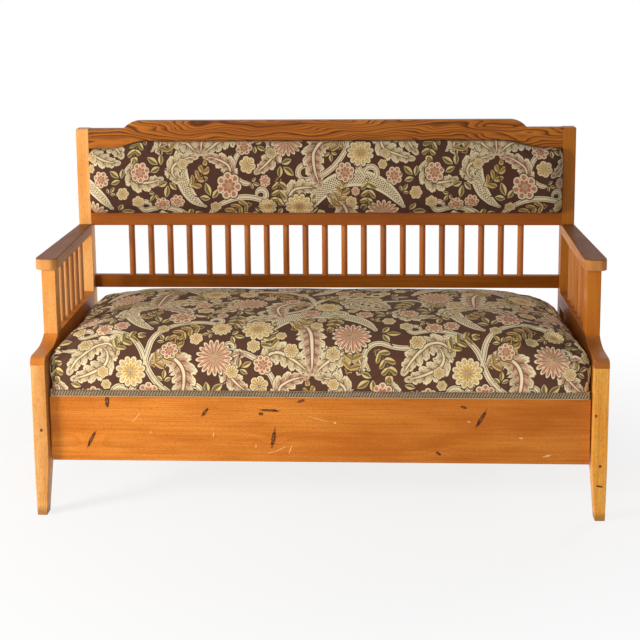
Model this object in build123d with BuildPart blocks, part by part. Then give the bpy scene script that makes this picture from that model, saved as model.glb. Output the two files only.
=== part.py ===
from build123d import *
import os

os.makedirs("parts", exist_ok=True)

# Pull-out bench bed, millimetres. X runs along the seat, the front faces -Y, Z is up.
# The origin is on the floor, midway between the two sides and between front and back.

# ---------------------------------------------------------------- overall frame
frame_width = 1640        # outside to outside of the legs and posts
frame_depth = 682         # front of the front legs to back of the rear posts
back_height = 1050        # top of the rear posts
arm_height = 730          # top of the armrests
post_width = 42           # legs and posts, seen from the front
edge_ease = 2             # rounding of the long edges of the joinery

# ---------------------------------------------------------------- legs and posts
rear_post_depth = 45
leg_height = 452          # front leg up to the arm rail that lies on it
leg_depth = 55
foot_width = 29
foot_depth = 34
foot_inset = 2            # outer side of the foot, in from the outer side of the leg
skirt_bottom = 160        # underside of front board, side panels and apron
arm_post_depth = 44
arm_post_setback = 156    # front of the leg to front of the arm post
tenon_length = 20
tenon_margin = 9          # shoulder all round a tenon
thin_rail_shoulder = 5    # the same, on the thin lower back rail
crest_tenon_drop = 18     # crest rail's tenons below the tops of the posts
armrest_tenon_depth = 15  # arm post's tenon in the armrest
foot_chamfer = 1.5
glue_gap = 0.1            # round a tenon or a dowel pin in its hole

# ---------------------------------------------------------------- arms
arm_rail_height = 48
nose_drop = 24            # top of the rail's nose, below the rail's top
nose_round = 22
cove_reach = 78           # length of the cove in front of the arm post
armrest_thickness = 33
armrest_overhang = 18     # in front of the arm post
armrest_front_width = 67
armrest_inner_lip = 9     # how far the armrest passes the post's inner side, at the front
armrest_corner = 23

# ---------------------------------------------------------------- back
crest_thickness = 30
crest_end_height = 65     # height of the crest rail where it meets the posts
crest_rise = 26           # raised middle, above the post tops
crest_arch = 25           # underside of the middle, above the underside of the ends
crest_low_end = 116       # low length of the top, beside each post
crest_ramp = 54           # length of each round ramp up to the raised middle
arch_low_end = 55         # low length of the underside, beside each post
arch_ramp = 150
middle_rail_drop = 281.5  # top of the middle rail, below the post tops
middle_rail_height = 42.5
lower_rail_top = 550
lower_rail_height = 42
lower_rail_thickness = 24
panel_thickness = 8
panel_lap = 45            # back panel's lap behind the crest rail

# ---------------------------------------------------------------- spindles
spindle_diameter = 21
spindle_pin_diameter = 12
spindle_pin_length = 14
back_spindle_count = 21
back_spindle_end = 128    # post's inner side to the centre of the first dowel
arm_spindle_count = 5
arm_spindle_end = 94.5    # rear post to the centre of the last dowel

# ---------------------------------------------------------------- seat base
board_thickness = 22
board_recess = 22         # front board behind the fronts of the legs
board_height = 193
board_gap = 4.5           # between the front board's end and the leg
side_panel_thickness = 20
side_panel_inset = 10
apron_thickness = 22
apron_top = 400
apron_inset = 8           # apron in from the backs of the rear posts
ledge_width = 45
ledge_height = 25
rear_ledge_width = 32
ledge_joint = 0.2         # open joint where the rear ledge meets the side ledges
seat_gap = 1              # lid above the front board's top edge

# ---------------------------------------------------------------- pull-out bed
runner_height = 38
runner_width = 42
bearing_width = 12        # how much of a box side stands on its runner
box_side_thickness = 20
kicker_gap = 4            # box side below the ledge that stops it tipping
tail_clearance = 62       # back of the tail rail to the apron's front face
rail_width = 24
cleat_width = 18
slat_thickness = 18
slat_width = 62
slat_end = 42             # runner to the first sliding slat
slat_end_gap = 2          # fixed slats short of the apron
sliding_slat_count = 10
stretcher_setback = 92    # leg front to front of the fixed stretcher
slide_clearance = 2       # beside and behind what slides
prop_leg_width = 32
prop_leg_thickness = 20
prop_pivot_inset = 120    # pivot in from the outside of the frame
prop_foot_gap = 1         # foot above the floor
bolt_diameter = 10
bolt_clearance = 0.1
bolt_head_diameter = 18
bolt_head_height = 6
bolt_bite = 14            # length of the bolt in the cleat

# ---------------------------------------------------------------- upholstery
lid_inset = 10            # seat board in from the legs' inner sides
seat_board_thickness = 20
seat_board_front = 19     # behind the fronts of the legs
seat_board_back_gap = 37  # seat board in from the backs of the rear posts
batten_width = 60
batten_height = 22
batten_end = 278          # post's inner side to the centre of the last batten
batten_front = 80
batten_back_gap = 72
gimp_thickness = 2.5
gimp_width = 19
cushion_front = 17
cushion_back_gap = 34
cushion_end_gap = 6       # cushion in from the arm rails
cushion_edge_height = 462 # shoulder line round the cushion
cushion_crown = 548
cushion_end_shoulder = 260
cushion_front_shoulder = 200
back_pad_clearance = 0.5
back_pad_projection = 38  # in front of the posts
back_pad_edge = 20        # the same, at the pad's rim
back_pad_shoulder = 70

# ---------------------------------------------------------------- derived places
half = frame_width / 2
inner = half - post_width                 # inner sides of legs and posts
front = -frame_depth / 2
back = frame_depth / 2
post_front = back - rear_post_depth       # front faces of the rear posts
arm_post_front = front + arm_post_setback
arm_post_back = arm_post_front + arm_post_depth
arm_rail_top = leg_height + arm_rail_height
armrest_bottom = arm_height - armrest_thickness
post_centre = half - post_width / 2
crest_bottom = back_height - crest_end_height
crest_back = post_front + crest_thickness
crest_flat_half = inner - crest_low_end - crest_ramp
arch_flat_half = inner - arch_low_end - arch_ramp
middle_rail_top = back_height - middle_rail_drop
middle_rail_bottom = middle_rail_top - middle_rail_height
lower_rail_front = back - lower_rail_thickness
spindle_line = back - lower_rail_thickness / 2
board_front = front + board_recess
board_back = board_front + board_thickness
board_top = skirt_bottom + board_height
board_half = inner - board_gap
side_panel_inner = half - side_panel_inset - side_panel_thickness
seat_bottom = board_top + seat_gap
seat_top = seat_bottom + seat_board_thickness
apron_back = back - apron_inset
apron_front = apron_back - apron_thickness
runner_top = skirt_bottom + runner_height
runner_inner = side_panel_inner - runner_width
box_side_outer = runner_inner + bearing_width
box_side_inner = box_side_outer - box_side_thickness
box_side_top = seat_bottom - ledge_height - kicker_gap
tail_rail_back = apron_front - tail_clearance
tail_rail_front = tail_rail_back - rail_width
cross_half = runner_inner - slide_clearance   # tail rail and cleat, between the runners
stretcher_front = front + stretcher_setback
stretcher_back = stretcher_front + rail_width
lid_half = inner - lid_inset
lid_front = front + seat_board_front
lid_back = back - seat_board_back_gap
cushion_half = inner - cushion_end_gap
prop_pivot_height = skirt_bottom + slide_clearance + prop_leg_width / 2


def keep(piece, node):
    """Label a finished piece and write it as its own STEP file."""
    piece.part.label = node
    export_step(piece.part, f"parts/{node}.step")


def block(x_range, y_range, z_range, mode=Mode.ADD):
    """A square-edged length of timber between two corners, in the open builder."""
    size = [high - low for low, high in (x_range, y_range, z_range)]
    centre = [(low + high) / 2 for low, high in (x_range, y_range, z_range)]
    with Locations(Location(centre)):
        Box(*size, mode=mode)


def grown(span, gap):
    """The same span with a gap added at both ends."""
    return (span[0] - gap, span[1] + gap)


def between(a, b):
    """Two values as a span, low one first."""
    return (min(a, b), max(a, b))


def post_span(side):
    """X span of the legs and posts on one side."""
    return between(side * inner, side * half)


def tenon_span(side):
    """X span of an upright tenon on the legs and posts of one side."""
    return between(side * (inner + tenon_margin), side * (half - tenon_margin))


def rail_tenon(side, y_range, z_range, gap=0.0, mode=Mode.ADD):
    """Tenon of a back rail in a rear post; with a gap, the mortise that takes it."""
    reach = tenon_length + gap
    x_range = between(side * inner, side * (inner + reach))
    block(x_range, grown(y_range, gap), grown(z_range, gap), mode)


def ease(builder, axis):
    """Round the long edges of a plain length of timber, before its joints are cut."""
    fillet(builder.edges().filter_by(axis), edge_ease)


# The tenons of the three back rails: thickness span and height span of each.
crest_tenon = (
    (post_front + tenon_margin, crest_back - tenon_margin),
    (crest_bottom + tenon_margin, back_height - crest_tenon_drop),
)
middle_tenon = (
    (post_front + tenon_margin, back - tenon_margin),
    (middle_rail_bottom + tenon_margin, middle_rail_top - tenon_margin),
)
lower_tenon = (
    (lower_rail_front + thin_rail_shoulder, back - thin_rail_shoulder),
    (lower_rail_top - lower_rail_height + tenon_margin, lower_rail_top - tenon_margin),
)
arm_rail_tenon_z = (leg_height + tenon_margin, arm_rail_top - tenon_margin)
armrest_tenon_z = (armrest_bottom + tenon_margin, arm_height - tenon_margin)
leg_tenon_y = (front + tenon_margin, front + leg_depth - tenon_margin)
arm_post_tenon_y = (arm_post_front + tenon_margin, arm_post_back - tenon_margin)
armrest_tenon_top = armrest_bottom + armrest_tenon_depth


# ---------------------------------------------------------------- rear posts
def rear_post(side):
    with BuildPart() as post:
        block(post_span(side), (post_front, back), (0, back_height))
        chamfer(post.faces().filter_by(Axis.Z).edges(), edge_ease)
        ease(post, Axis.Z)
        for y_range, z_range in (crest_tenon, middle_tenon, lower_tenon):
            rail_tenon(side, y_range, z_range, glue_gap, Mode.SUBTRACT)
        # the arm rail and the armrest enter the front face
        entry = (post_front, post_front + tenon_length + glue_gap)
        for z_range in (arm_rail_tenon_z, armrest_tenon_z):
            block(grown(tenon_span(side), glue_gap), entry, grown(z_range, glue_gap), Mode.SUBTRACT)
    return post


# ---------------------------------------------------------------- front legs
def front_leg(side):
    """Square at the top, tapered on its inner and rear sides below the skirt."""
    foot_x = side * (half - foot_inset - foot_width / 2)
    with BuildPart() as leg:
        with BuildSketch(Plane.XY):
            with Locations((foot_x, front + foot_depth / 2)):
                RectangleRounded(foot_width, foot_depth, edge_ease)
        with BuildSketch(Plane.XY.offset(skirt_bottom)):
            with Locations((side * post_centre, front + leg_depth / 2)):
                RectangleRounded(post_width, leg_depth, edge_ease)
        loft()
        extrude(leg.faces().sort_by(Axis.Z)[-1], amount=leg_height - skirt_bottom)
        chamfer(leg.faces().sort_by(Axis.Z)[0].edges(), foot_chamfer)
        block(tenon_span(side), leg_tenon_y, (leg_height, leg_height + tenon_length))
    return leg


# ---------------------------------------------------------------- arm rails
def arm_rail(side):
    nose_top = arm_rail_top - nose_drop
    cove_end = arm_post_front - cove_reach
    nose_start = front + nose_round
    x_low, x_high = post_span(side)
    with BuildPart() as rail:
        with BuildSketch(Plane.YZ.offset(x_low)):
            with BuildLine():
                top = Line((post_front, arm_rail_top), (arm_post_front, arm_rail_top))
                cove = Bezier(
                    top @ 1,
                    (arm_post_front - cove_reach / 7, arm_rail_top - nose_drop / 2),
                    (arm_post_front - cove_reach / 2, nose_top),
                    (cove_end, nose_top),
                )
                flat = Line(cove @ 1, (nose_start, nose_top))
                nose = Bezier(
                    flat @ 1,
                    (front + nose_round / 3, nose_top),
                    (front, nose_top - nose_round / 4),
                    (front, nose_top - nose_round),
                )
                Polyline(nose @ 1, (front, leg_height), (post_front, leg_height), top @ 0)
            make_face()
        extrude(amount=x_high - x_low)
        block(tenon_span(side), (post_front, post_front + tenon_length), arm_rail_tenon_z)
        block(
            grown(tenon_span(side), glue_gap),
            grown(leg_tenon_y, glue_gap),
            (leg_height, leg_height + tenon_length + glue_gap),
            Mode.SUBTRACT,
        )
        block(
            grown(tenon_span(side), glue_gap),
            grown(arm_post_tenon_y, glue_gap),
            (arm_rail_top - tenon_length - glue_gap, arm_rail_top),
            Mode.SUBTRACT,
        )
        with BuildSketch(Plane.XY.offset(arm_rail_top)):
            with Locations(arm_spindle_places(side)):
                Circle(spindle_pin_diameter / 2 + glue_gap)
        extrude(amount=-(spindle_pin_length + glue_gap), mode=Mode.SUBTRACT)
    return rail


def arm_spindle_places(side):
    """Plan positions of the dowels under one armrest, evenly spaced."""
    first = arm_post_back + arm_spindle_end
    pitch = (post_front - arm_spindle_end - first) / (arm_spindle_count - 1)
    return [(side * post_centre, first + i * pitch) for i in range(arm_spindle_count)]


# ---------------------------------------------------------------- arm posts
def arm_post(side):
    with BuildPart() as post:
        block(post_span(side), (arm_post_front, arm_post_back), (arm_rail_top, armrest_bottom))
        ease(post, Axis.Z)
        block(tenon_span(side), arm_post_tenon_y, (arm_rail_top - tenon_length, arm_rail_top))
        block(tenon_span(side), arm_post_tenon_y, (armrest_bottom, armrest_tenon_top))
    return post


# ---------------------------------------------------------------- armrests
def armrest(side):
    tip = arm_post_front - armrest_overhang
    lip = inner - armrest_inner_lip
    with BuildPart() as rest:
        with BuildSketch(Plane.XY.offset(armrest_bottom)) as plan:
            with BuildLine():
                Polyline(
                    (side * inner, post_front),
                    (side * lip, tip),
                    (side * (lip + armrest_front_width), tip),
                    (side * half, post_front),
                    close=True,
                )
            make_face()
            fillet(plan.vertices().group_by(Axis.Y)[0], armrest_corner)
        extrude(amount=armrest_thickness)
        rims = rest.faces().sort_by(Axis.Z)
        fillet(rims[-1].edges() + rims[0].edges(), edge_ease)
        block(tenon_span(side), (post_front - edge_ease, post_front + tenon_length), armrest_tenon_z)
        block(
            grown(tenon_span(side), glue_gap),
            grown(arm_post_tenon_y, glue_gap),
            (armrest_bottom, armrest_tenon_top + glue_gap),
            Mode.SUBTRACT,
        )
        with BuildSketch(Plane.XY.offset(armrest_bottom)):
            with Locations(arm_spindle_places(side)):
                Circle(spindle_pin_diameter / 2 + glue_gap)
        extrude(amount=spindle_pin_length + glue_gap, mode=Mode.SUBTRACT)
    return rest


# ---------------------------------------------------------------- spindles
def spindle(place, low, high):
    """A turned dowel with a thinner pin at each end."""
    with BuildPart() as dowel:
        with BuildSketch(Plane.XY.offset(low)):
            with Locations(place):
                Circle(spindle_diameter / 2)
        extrude(amount=high - low)
        with BuildSketch(Plane.XY.offset(low - spindle_pin_length)):
            with Locations(place):
                Circle(spindle_pin_diameter / 2)
        extrude(amount=high - low + 2 * spindle_pin_length)
    return dowel


def back_spindle_places():
    """Plan positions of the dowels of the back gallery, evenly spaced."""
    first = back_spindle_end - inner
    pitch = -2 * first / (back_spindle_count - 1)
    return [(first + i * pitch, spindle_line) for i in range(back_spindle_count)]


# ---------------------------------------------------------------- back rails
def crest_outline():
    """Face of the crest rail: raised flat top between ramps, arched underside."""
    top_foot = crest_flat_half + crest_ramp
    raised = back_height + crest_rise
    arch_foot = arch_flat_half + arch_ramp
    arch_top = crest_bottom + crest_arch
    with BuildLine() as outline:
        for side in (-1, 1):
            TangentArc(
                (side * crest_flat_half, raised), (side * top_foot, back_height), tangent=(side, 0)
            )
            Bezier(
                (side * arch_foot, crest_bottom),
                (side * (arch_foot - arch_ramp / 2), crest_bottom),
                (side * (arch_flat_half + arch_ramp / 2), arch_top),
                (side * arch_flat_half, arch_top),
            )
            Polyline(
                (side * top_foot, back_height),
                (side * inner, back_height),
                (side * inner, crest_bottom),
                (side * arch_foot, crest_bottom),
            )
        Line((-crest_flat_half, raised), (crest_flat_half, raised))
        Line((-arch_flat_half, arch_top), (arch_flat_half, arch_top))
    return outline.line.edges()


with BuildPart() as crest_rail:
    with BuildSketch(Plane.XZ.offset(-crest_back)):
        make_face(crest_outline())
    extrude(amount=crest_thickness)
    fillet(crest_rail.faces().sort_by(Axis.Y)[0].edges().filter_by(Axis.Z, reverse=True), edge_ease)
    for side in (-1, 1):
        rail_tenon(side, *crest_tenon)

with BuildPart() as middle_rail:
    block((-inner, inner), (post_front, back), (middle_rail_bottom, middle_rail_top))
    ease(middle_rail, Axis.X)
    for side in (-1, 1):
        rail_tenon(side, *middle_tenon)
    with BuildSketch(Plane.XY.offset(middle_rail_bottom)):
        with Locations(back_spindle_places()):
            Circle(spindle_pin_diameter / 2 + glue_gap)
    extrude(amount=spindle_pin_length + glue_gap, mode=Mode.SUBTRACT)

with BuildPart() as lower_rail:
    block((-inner, inner), (lower_rail_front, back), (lower_rail_top - lower_rail_height, lower_rail_top))
    ease(lower_rail, Axis.X)
    for side in (-1, 1):
        rail_tenon(side, *lower_tenon)
    with BuildSketch(Plane.XY.offset(lower_rail_top)):
        with Locations(back_spindle_places()):
            Circle(spindle_pin_diameter / 2 + glue_gap)
    extrude(amount=-(spindle_pin_length + glue_gap), mode=Mode.SUBTRACT)

keep(crest_rail, "crest_rail")
keep(middle_rail, "middle_back_rail")
keep(lower_rail, "lower_back_rail")

# ---------------------------------------------------------------- frame, side by side
for side, hand in ((-1, "left"), (1, "right")):
    keep(rear_post(side), f"rear_post_{hand}")
    keep(front_leg(side), f"front_leg_{hand}")
    keep(arm_rail(side), f"arm_rail_{hand}")
    keep(arm_post(side), f"arm_post_{hand}")
    keep(armrest(side), f"armrest_{hand}")

    with BuildPart() as arm_spindles:
        for place in arm_spindle_places(side):
            add(spindle(place, arm_rail_top, armrest_bottom).part)
    keep(arm_spindles, f"arm_spindles_{hand}")

    with BuildPart() as side_panel:
        panel_x = between(side * side_panel_inner, side * (side_panel_inner + side_panel_thickness))
        block(panel_x, (front + leg_depth, post_front), (skirt_bottom, leg_height))
    keep(side_panel, f"side_panel_{hand}")

for number, place in enumerate(back_spindle_places(), start=1):
    dowel = spindle(place, lower_rail_top, middle_rail_bottom)
    keep(dowel, f"back_spindle_{number:02d}")

# ---------------------------------------------------------------- fixed bed base
with BuildPart() as rear_apron:
    block((-inner, inner), (apron_front, apron_back), (skirt_bottom, apron_top))
keep(rear_apron, "rear_apron")

with BuildPart() as seat_ledges:
    ledge_z = (seat_bottom - ledge_height, seat_bottom)
    rear_ledge_y = (apron_front - rear_ledge_width, apron_front)
    rear_ledge_half = side_panel_inner - ledge_width
    block((-rear_ledge_half, rear_ledge_half), rear_ledge_y, ledge_z)
    for side in (-1, 1):
        ledge_x = between(side * (rear_ledge_half + ledge_joint), side * side_panel_inner)
        block(ledge_x, (front + leg_depth, post_front), ledge_z)
keep(seat_ledges, "seat_ledges")

with BuildPart() as runners:
    for side in (-1, 1):
        runner_x = between(side * runner_inner, side * side_panel_inner)
        block(runner_x, (stretcher_back, post_front), (skirt_bottom, runner_top))
keep(runners, "box_runners")

with BuildPart() as slat_ledger:
    block((-runner_inner, runner_inner), rear_ledge_y, (skirt_bottom, runner_top))
keep(slat_ledger, "rear_slat_ledger")

with BuildPart() as stretcher:
    block((-side_panel_inner, side_panel_inner), (stretcher_front, stretcher_back), (skirt_bottom, runner_top))
keep(stretcher, "front_stretcher")


def slats(count, y_range):
    """A set of evenly spaced slats, centred on the bed."""
    reach = runner_inner - slat_end - slat_width / 2
    step = 2 * reach / (sliding_slat_count - 1)
    first = -step * (count - 1) / 2
    for i in range(count):
        x = first + i * step
        block((x - slat_width / 2, x + slat_width / 2), y_range, (runner_top, runner_top + slat_thickness))


with BuildPart() as fixed_slats:
    slats(sliding_slat_count - 1, (stretcher_front, apron_front - slat_end_gap))
keep(fixed_slats, "fixed_slats")

# ---------------------------------------------------------------- pull-out bed box
with BuildPart() as front_board:
    block((-board_half, board_half), (board_front, board_back), (skirt_bottom, board_top))
    ease(front_board, Axis.X)
keep(front_board, "front_board")

for side, hand in ((-1, "left"), (1, "right")):
    with BuildPart() as box_side:
        side_x = between(side * box_side_inner, side * box_side_outer)
        block(side_x, (board_back, tail_rail_back), (runner_top, box_side_top))
        chamfer(box_side.edges().filter_by(Axis.Y).group_by(Axis.Z)[-1], edge_ease)
    keep(box_side, f"box_side_{hand}")

with BuildPart() as tail_rail:
    block((-cross_half, cross_half), (tail_rail_front, tail_rail_back), (skirt_bottom, runner_top))
keep(tail_rail, "box_tail_rail")

cleat_back = board_back + cleat_width
with BuildPart() as slat_cleat:
    block((-cross_half, cross_half), (board_back, cleat_back), (skirt_bottom, runner_top))
    with BuildSketch(Plane.XZ.offset(-cleat_back)):
        for side in (-1, 1):
            with Locations((side * (half - prop_pivot_inset), prop_pivot_height)):
                Circle(bolt_diameter / 2 + bolt_clearance)
    extrude(amount=bolt_bite + bolt_clearance, mode=Mode.SUBTRACT)
keep(slat_cleat, "front_slat_cleat")

with BuildPart() as sliding_slats:
    slats(sliding_slat_count, (board_back, tail_rail_back))
keep(sliding_slats, "sliding_slats")

# ---------------------------------------------------------------- fold-down prop legs
prop_front = cleat_back + bolt_clearance
prop_back = prop_front + prop_leg_thickness
prop_reach = prop_pivot_height - prop_foot_gap


def prop_leg(side):
    """Folded away it lies along the cleat, with its foot towards the middle."""
    pivot_x = side * (half - prop_pivot_inset)
    with BuildPart() as leg:
        with BuildSketch(Plane.XZ.offset(-prop_back)):
            with Locations((pivot_x, prop_pivot_height)):
                Circle(prop_leg_width / 2)
            with Locations((pivot_x - side * prop_reach / 2, prop_pivot_height)):
                Rectangle(prop_reach, prop_leg_width)
            with Locations((pivot_x, prop_pivot_height)):
                Circle(bolt_diameter / 2 + bolt_clearance, mode=Mode.SUBTRACT)
        extrude(amount=prop_leg_thickness)
    return leg


with BuildPart() as prop_bolts:
    for side in (-1, 1):
        bolt_place = (side * (half - prop_pivot_inset), prop_pivot_height)
        with BuildSketch(Plane.XZ.offset(-prop_back - bolt_clearance)):
            with Locations(bolt_place):
                Circle(bolt_diameter / 2)
        extrude(amount=prop_leg_thickness + 2 * bolt_clearance + bolt_bite)
        with BuildSketch(Plane.XZ.offset(-prop_back - bolt_clearance - bolt_head_height)):
            with Locations(bolt_place):
                RegularPolygon(bolt_head_diameter / 2, 6)
        extrude(amount=bolt_head_height)
keep(prop_bolts, "prop_leg_bolts")
keep(prop_leg(-1), "prop_leg_left")
keep(prop_leg(1), "prop_leg_right")

# ---------------------------------------------------------------- upholstered lid
with BuildPart() as seat_board:
    block((-lid_half, lid_half), (lid_front, lid_back), (seat_bottom, seat_top))
keep(seat_board, "seat_board")

with BuildPart() as seat_battens:
    for place in (-1, 0, 1):
        x = place * (inner - batten_end)
        batten_y = (front + batten_front, back - batten_back_gap)
        block((x - batten_width / 2, x + batten_width / 2), batten_y, (seat_bottom - batten_height, seat_bottom))
keep(seat_battens, "seat_battens")

with BuildPart() as gimp:
    gimp_half = lid_half + gimp_thickness
    gimp_z = (seat_top - gimp_width, seat_top)
    block((-gimp_half, gimp_half), (lid_front - gimp_thickness, lid_front), gimp_z)
    for side in (-1, 1):
        block(between(side * lid_half, side * gimp_half), (lid_front, lid_back), gimp_z)
keep(gimp, "gimp_trim")


def crowned(low, high, base, edge, crown, shoulder):
    """Section of a stuffed pad: upright rim, then a soft rise to a nearly flat crown."""
    rise = crown - edge
    with BuildLine() as outline:
        left = Bezier(
            (low, edge), (low, edge + rise / 2), (low + shoulder / 2, crown), (low + shoulder, crown)
        )
        right = Bezier(
            (high - shoulder, crown), (high - shoulder / 2, crown), (high, edge + rise / 2), (high, edge)
        )
        Line(left @ 1, right @ 0)
        Polyline(right @ 1, (high, base), (low, base), left @ 0)
    return outline.line.edges()


with BuildPart() as cushion:
    cushion_y = (front + cushion_front, back - cushion_back_gap)
    cushion_x = (-cushion_half, cushion_half)
    heights = (seat_top, cushion_edge_height, cushion_crown)
    with BuildSketch(Plane.XZ.offset(-cushion_y[1])):
        make_face(crowned(*cushion_x, *heights, cushion_end_shoulder))
    extrude(amount=cushion_y[1] - cushion_y[0])
    with BuildSketch(Plane.YZ.offset(cushion_x[0])):
        make_face(crowned(*cushion_y, *heights, cushion_front_shoulder))
    extrude(amount=2 * cushion_half, mode=Mode.INTERSECT)
keep(cushion, "seat_cushion")

# ---------------------------------------------------------------- upholstered back
with BuildPart() as back_panel:
    panel_y = (crest_back, crest_back + panel_thickness)
    block((-inner, inner), panel_y, (middle_rail_top, crest_bottom + panel_lap))
keep(back_panel, "back_panel")

with BuildPart() as back_pad:
    pad_half = inner - back_pad_clearance
    pad_low = middle_rail_top + back_pad_clearance
    pad_high = crest_bottom - back_pad_clearance
    arch_high = pad_high + crest_arch
    arch_end = arch_flat_half + arch_ramp
    # depths in front of the panel, measured towards the sitter
    pad_base = -crest_back + back_pad_clearance
    depths = (pad_base, -post_front + back_pad_edge, -post_front + back_pad_projection)
    with BuildSketch(Plane.XZ.offset(pad_base)):
        with BuildLine():
            for side in (-1, 1):
                Bezier(
                    (side * arch_end, pad_high),
                    (side * (arch_end - arch_ramp / 2), pad_high),
                    (side * (arch_flat_half + arch_ramp / 2), arch_high),
                    (side * arch_flat_half, arch_high),
                )
                Polyline((side * arch_end, pad_high), (side * pad_half, pad_high), (side * pad_half, pad_low))
            Line((-arch_flat_half, arch_high), (arch_flat_half, arch_high))
            Line((-pad_half, pad_low), (pad_half, pad_low))
        make_face()
    extrude(amount=crest_thickness + back_pad_projection)
    upright = Plane(origin=(-pad_half, 0, 0), x_dir=(0, 0, 1), z_dir=(1, 0, 0))
    with BuildSketch(upright):
        make_face(crowned(pad_low, arch_high, *depths, back_pad_shoulder))
    extrude(amount=2 * pad_half, mode=Mode.INTERSECT)
    level = Plane(origin=(0, 0, arch_high), x_dir=(1, 0, 0), z_dir=(0, 0, -1))
    with BuildSketch(level):
        make_face(crowned(-pad_half, pad_half, *depths, back_pad_shoulder))
    extrude(amount=arch_high - pad_low, mode=Mode.INTERSECT)
keep(back_pad, "back_cushion")
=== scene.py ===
import math
import bmesh
import bpy
import numpy as np
from mathutils import Matrix, Vector, noise


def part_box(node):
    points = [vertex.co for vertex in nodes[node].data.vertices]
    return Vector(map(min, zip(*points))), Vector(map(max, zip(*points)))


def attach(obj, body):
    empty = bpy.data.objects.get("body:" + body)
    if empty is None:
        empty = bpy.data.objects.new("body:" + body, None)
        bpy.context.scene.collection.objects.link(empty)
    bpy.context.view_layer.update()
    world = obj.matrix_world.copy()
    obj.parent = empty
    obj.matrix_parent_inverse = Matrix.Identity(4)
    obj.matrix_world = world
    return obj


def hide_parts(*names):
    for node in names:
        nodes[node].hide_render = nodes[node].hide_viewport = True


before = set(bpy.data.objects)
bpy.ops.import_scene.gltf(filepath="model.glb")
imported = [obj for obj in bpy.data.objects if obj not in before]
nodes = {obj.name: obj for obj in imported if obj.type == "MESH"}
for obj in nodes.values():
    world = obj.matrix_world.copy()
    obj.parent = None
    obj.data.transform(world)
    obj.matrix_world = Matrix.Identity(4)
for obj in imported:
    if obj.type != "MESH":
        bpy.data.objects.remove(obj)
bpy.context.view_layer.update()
print("frame loaded:", len(nodes), "nodes")


# a socket that can be written as a formula; each step adds one Math node
class Field:
    def __init__(self, socket):
        self.socket = socket

    def step(self, operation, *others):
        return addField("ShaderNodeMath", dict(enumerate((self, *others))), operation=operation)

    def __add__(self, other):
        return self.step("ADD", other)

    def __sub__(self, other):
        return self.step("SUBTRACT", other)

    def __mul__(self, other):
        return self.step("MULTIPLY", other)

    def __truediv__(self, other):
        return self.step("DIVIDE", other)

    def fract(self):
        return self.step("FRACT")

    def absolute(self):
        return self.step("ABSOLUTE")

    def zigzag(self):  # 0 in the middle of each wave and 1 at its ends
        return (self.fract() - 0.5).absolute() * 2.0

    def under(self, edge, soft):  # 1 below the edge, 0 above it, with a soft step
        value, base = (self - edge, 0.0) if isinstance(edge, Field) else (self, edge)
        sizes = {"Value": value, "From Min": base - soft, "From Max": base + soft, "To Min": 1.0, "To Max": 0.0}
        return addField("ShaderNodeMapRange", sizes, interpolation_type="SMOOTHSTEP")

    def near(self, value, reach):  # 1 at the value, fading to 0 at the reach
        return (self - value).absolute().under(reach, reach * 0.35)


def feed(slot, value):
    if isinstance(value, Field):
        slot.id_data.links.new(value.socket, slot)
    else:
        slot.default_value = value


def addField(kind, values, output=0, **settings):  # one more node in the tree that the values come from
    tree = next(value for value in values.values() if isinstance(value, Field)).socket.id_data
    node = tree.nodes.new(kind)
    for key, value in settings.items():
        setattr(node, key, value)
    for key, value in values.items():
        feed(node.inputs[key], value)
    return Field(node.outputs[output])


def partsOf(vector):
    split = vector.socket.id_data.nodes.new("ShaderNodeSeparateXYZ")
    feed(split.inputs[0], vector)
    return [Field(part) for part in split.outputs]


def objectAxes(tree, order):  # object coordinates as (along the grain, across the face, through the board)
    parts = partsOf(Field(tree.nodes.new("ShaderNodeTexCoord").outputs["Object"]))
    return [parts["XYZ".index(axis)] for axis in order]


def noiseField(vector, scale, detail, rough=0.5):
    values = {"Vector": vector, "Scale": scale, "Detail": detail, "Roughness": rough}
    return addField("ShaderNodeTexNoise", values, "Fac")


def noiseOver(axes, counts, detail, rough=0.5):  # noise with so many waves for each metre along each axis
    stretched = dict(enumerate(axis * count for axis, count in zip(axes, counts)))
    return noiseField(addField("ShaderNodeCombineXYZ", stretched), 1.0, detail, rough)


def highest(fields):
    top = fields[0]
    for field in fields[1:]:
        top = top.step("MAXIMUM", field)
    return top


def layered(color, *layers):  # each layer: how much of it covers what lies below, and its colour
    for share, above in layers:
        color = addField("ShaderNodeMix", {0: share, 6: color, 7: above}, 2, data_type="RGBA")
    return color


def rgb(r, g, b):  # a colour as seen, 0 to 255, turned into the linear one that shaders use
    return tuple((((v / 255 + 0.055) / 1.055) ** 2.4) for v in (r, g, b)) + (1.0,)


def startMaterial(name, roughness, **others):
    material = bpy.data.materials.new(name)
    material.use_nodes = True
    tree = material.node_tree
    shader = tree.nodes["Principled BSDF"]
    shader.inputs["Roughness"].default_value = roughness
    for key, value in others.items():
        shader.inputs[key.replace("_", " ")].default_value = value
    return material, tree, shader


def addBump(shader, height, distance, strength):
    bump = addField("ShaderNodeBump", {"Height": height, "Distance": distance, "Strength": strength})
    feed(shader.inputs["Normal"], bump)


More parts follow.
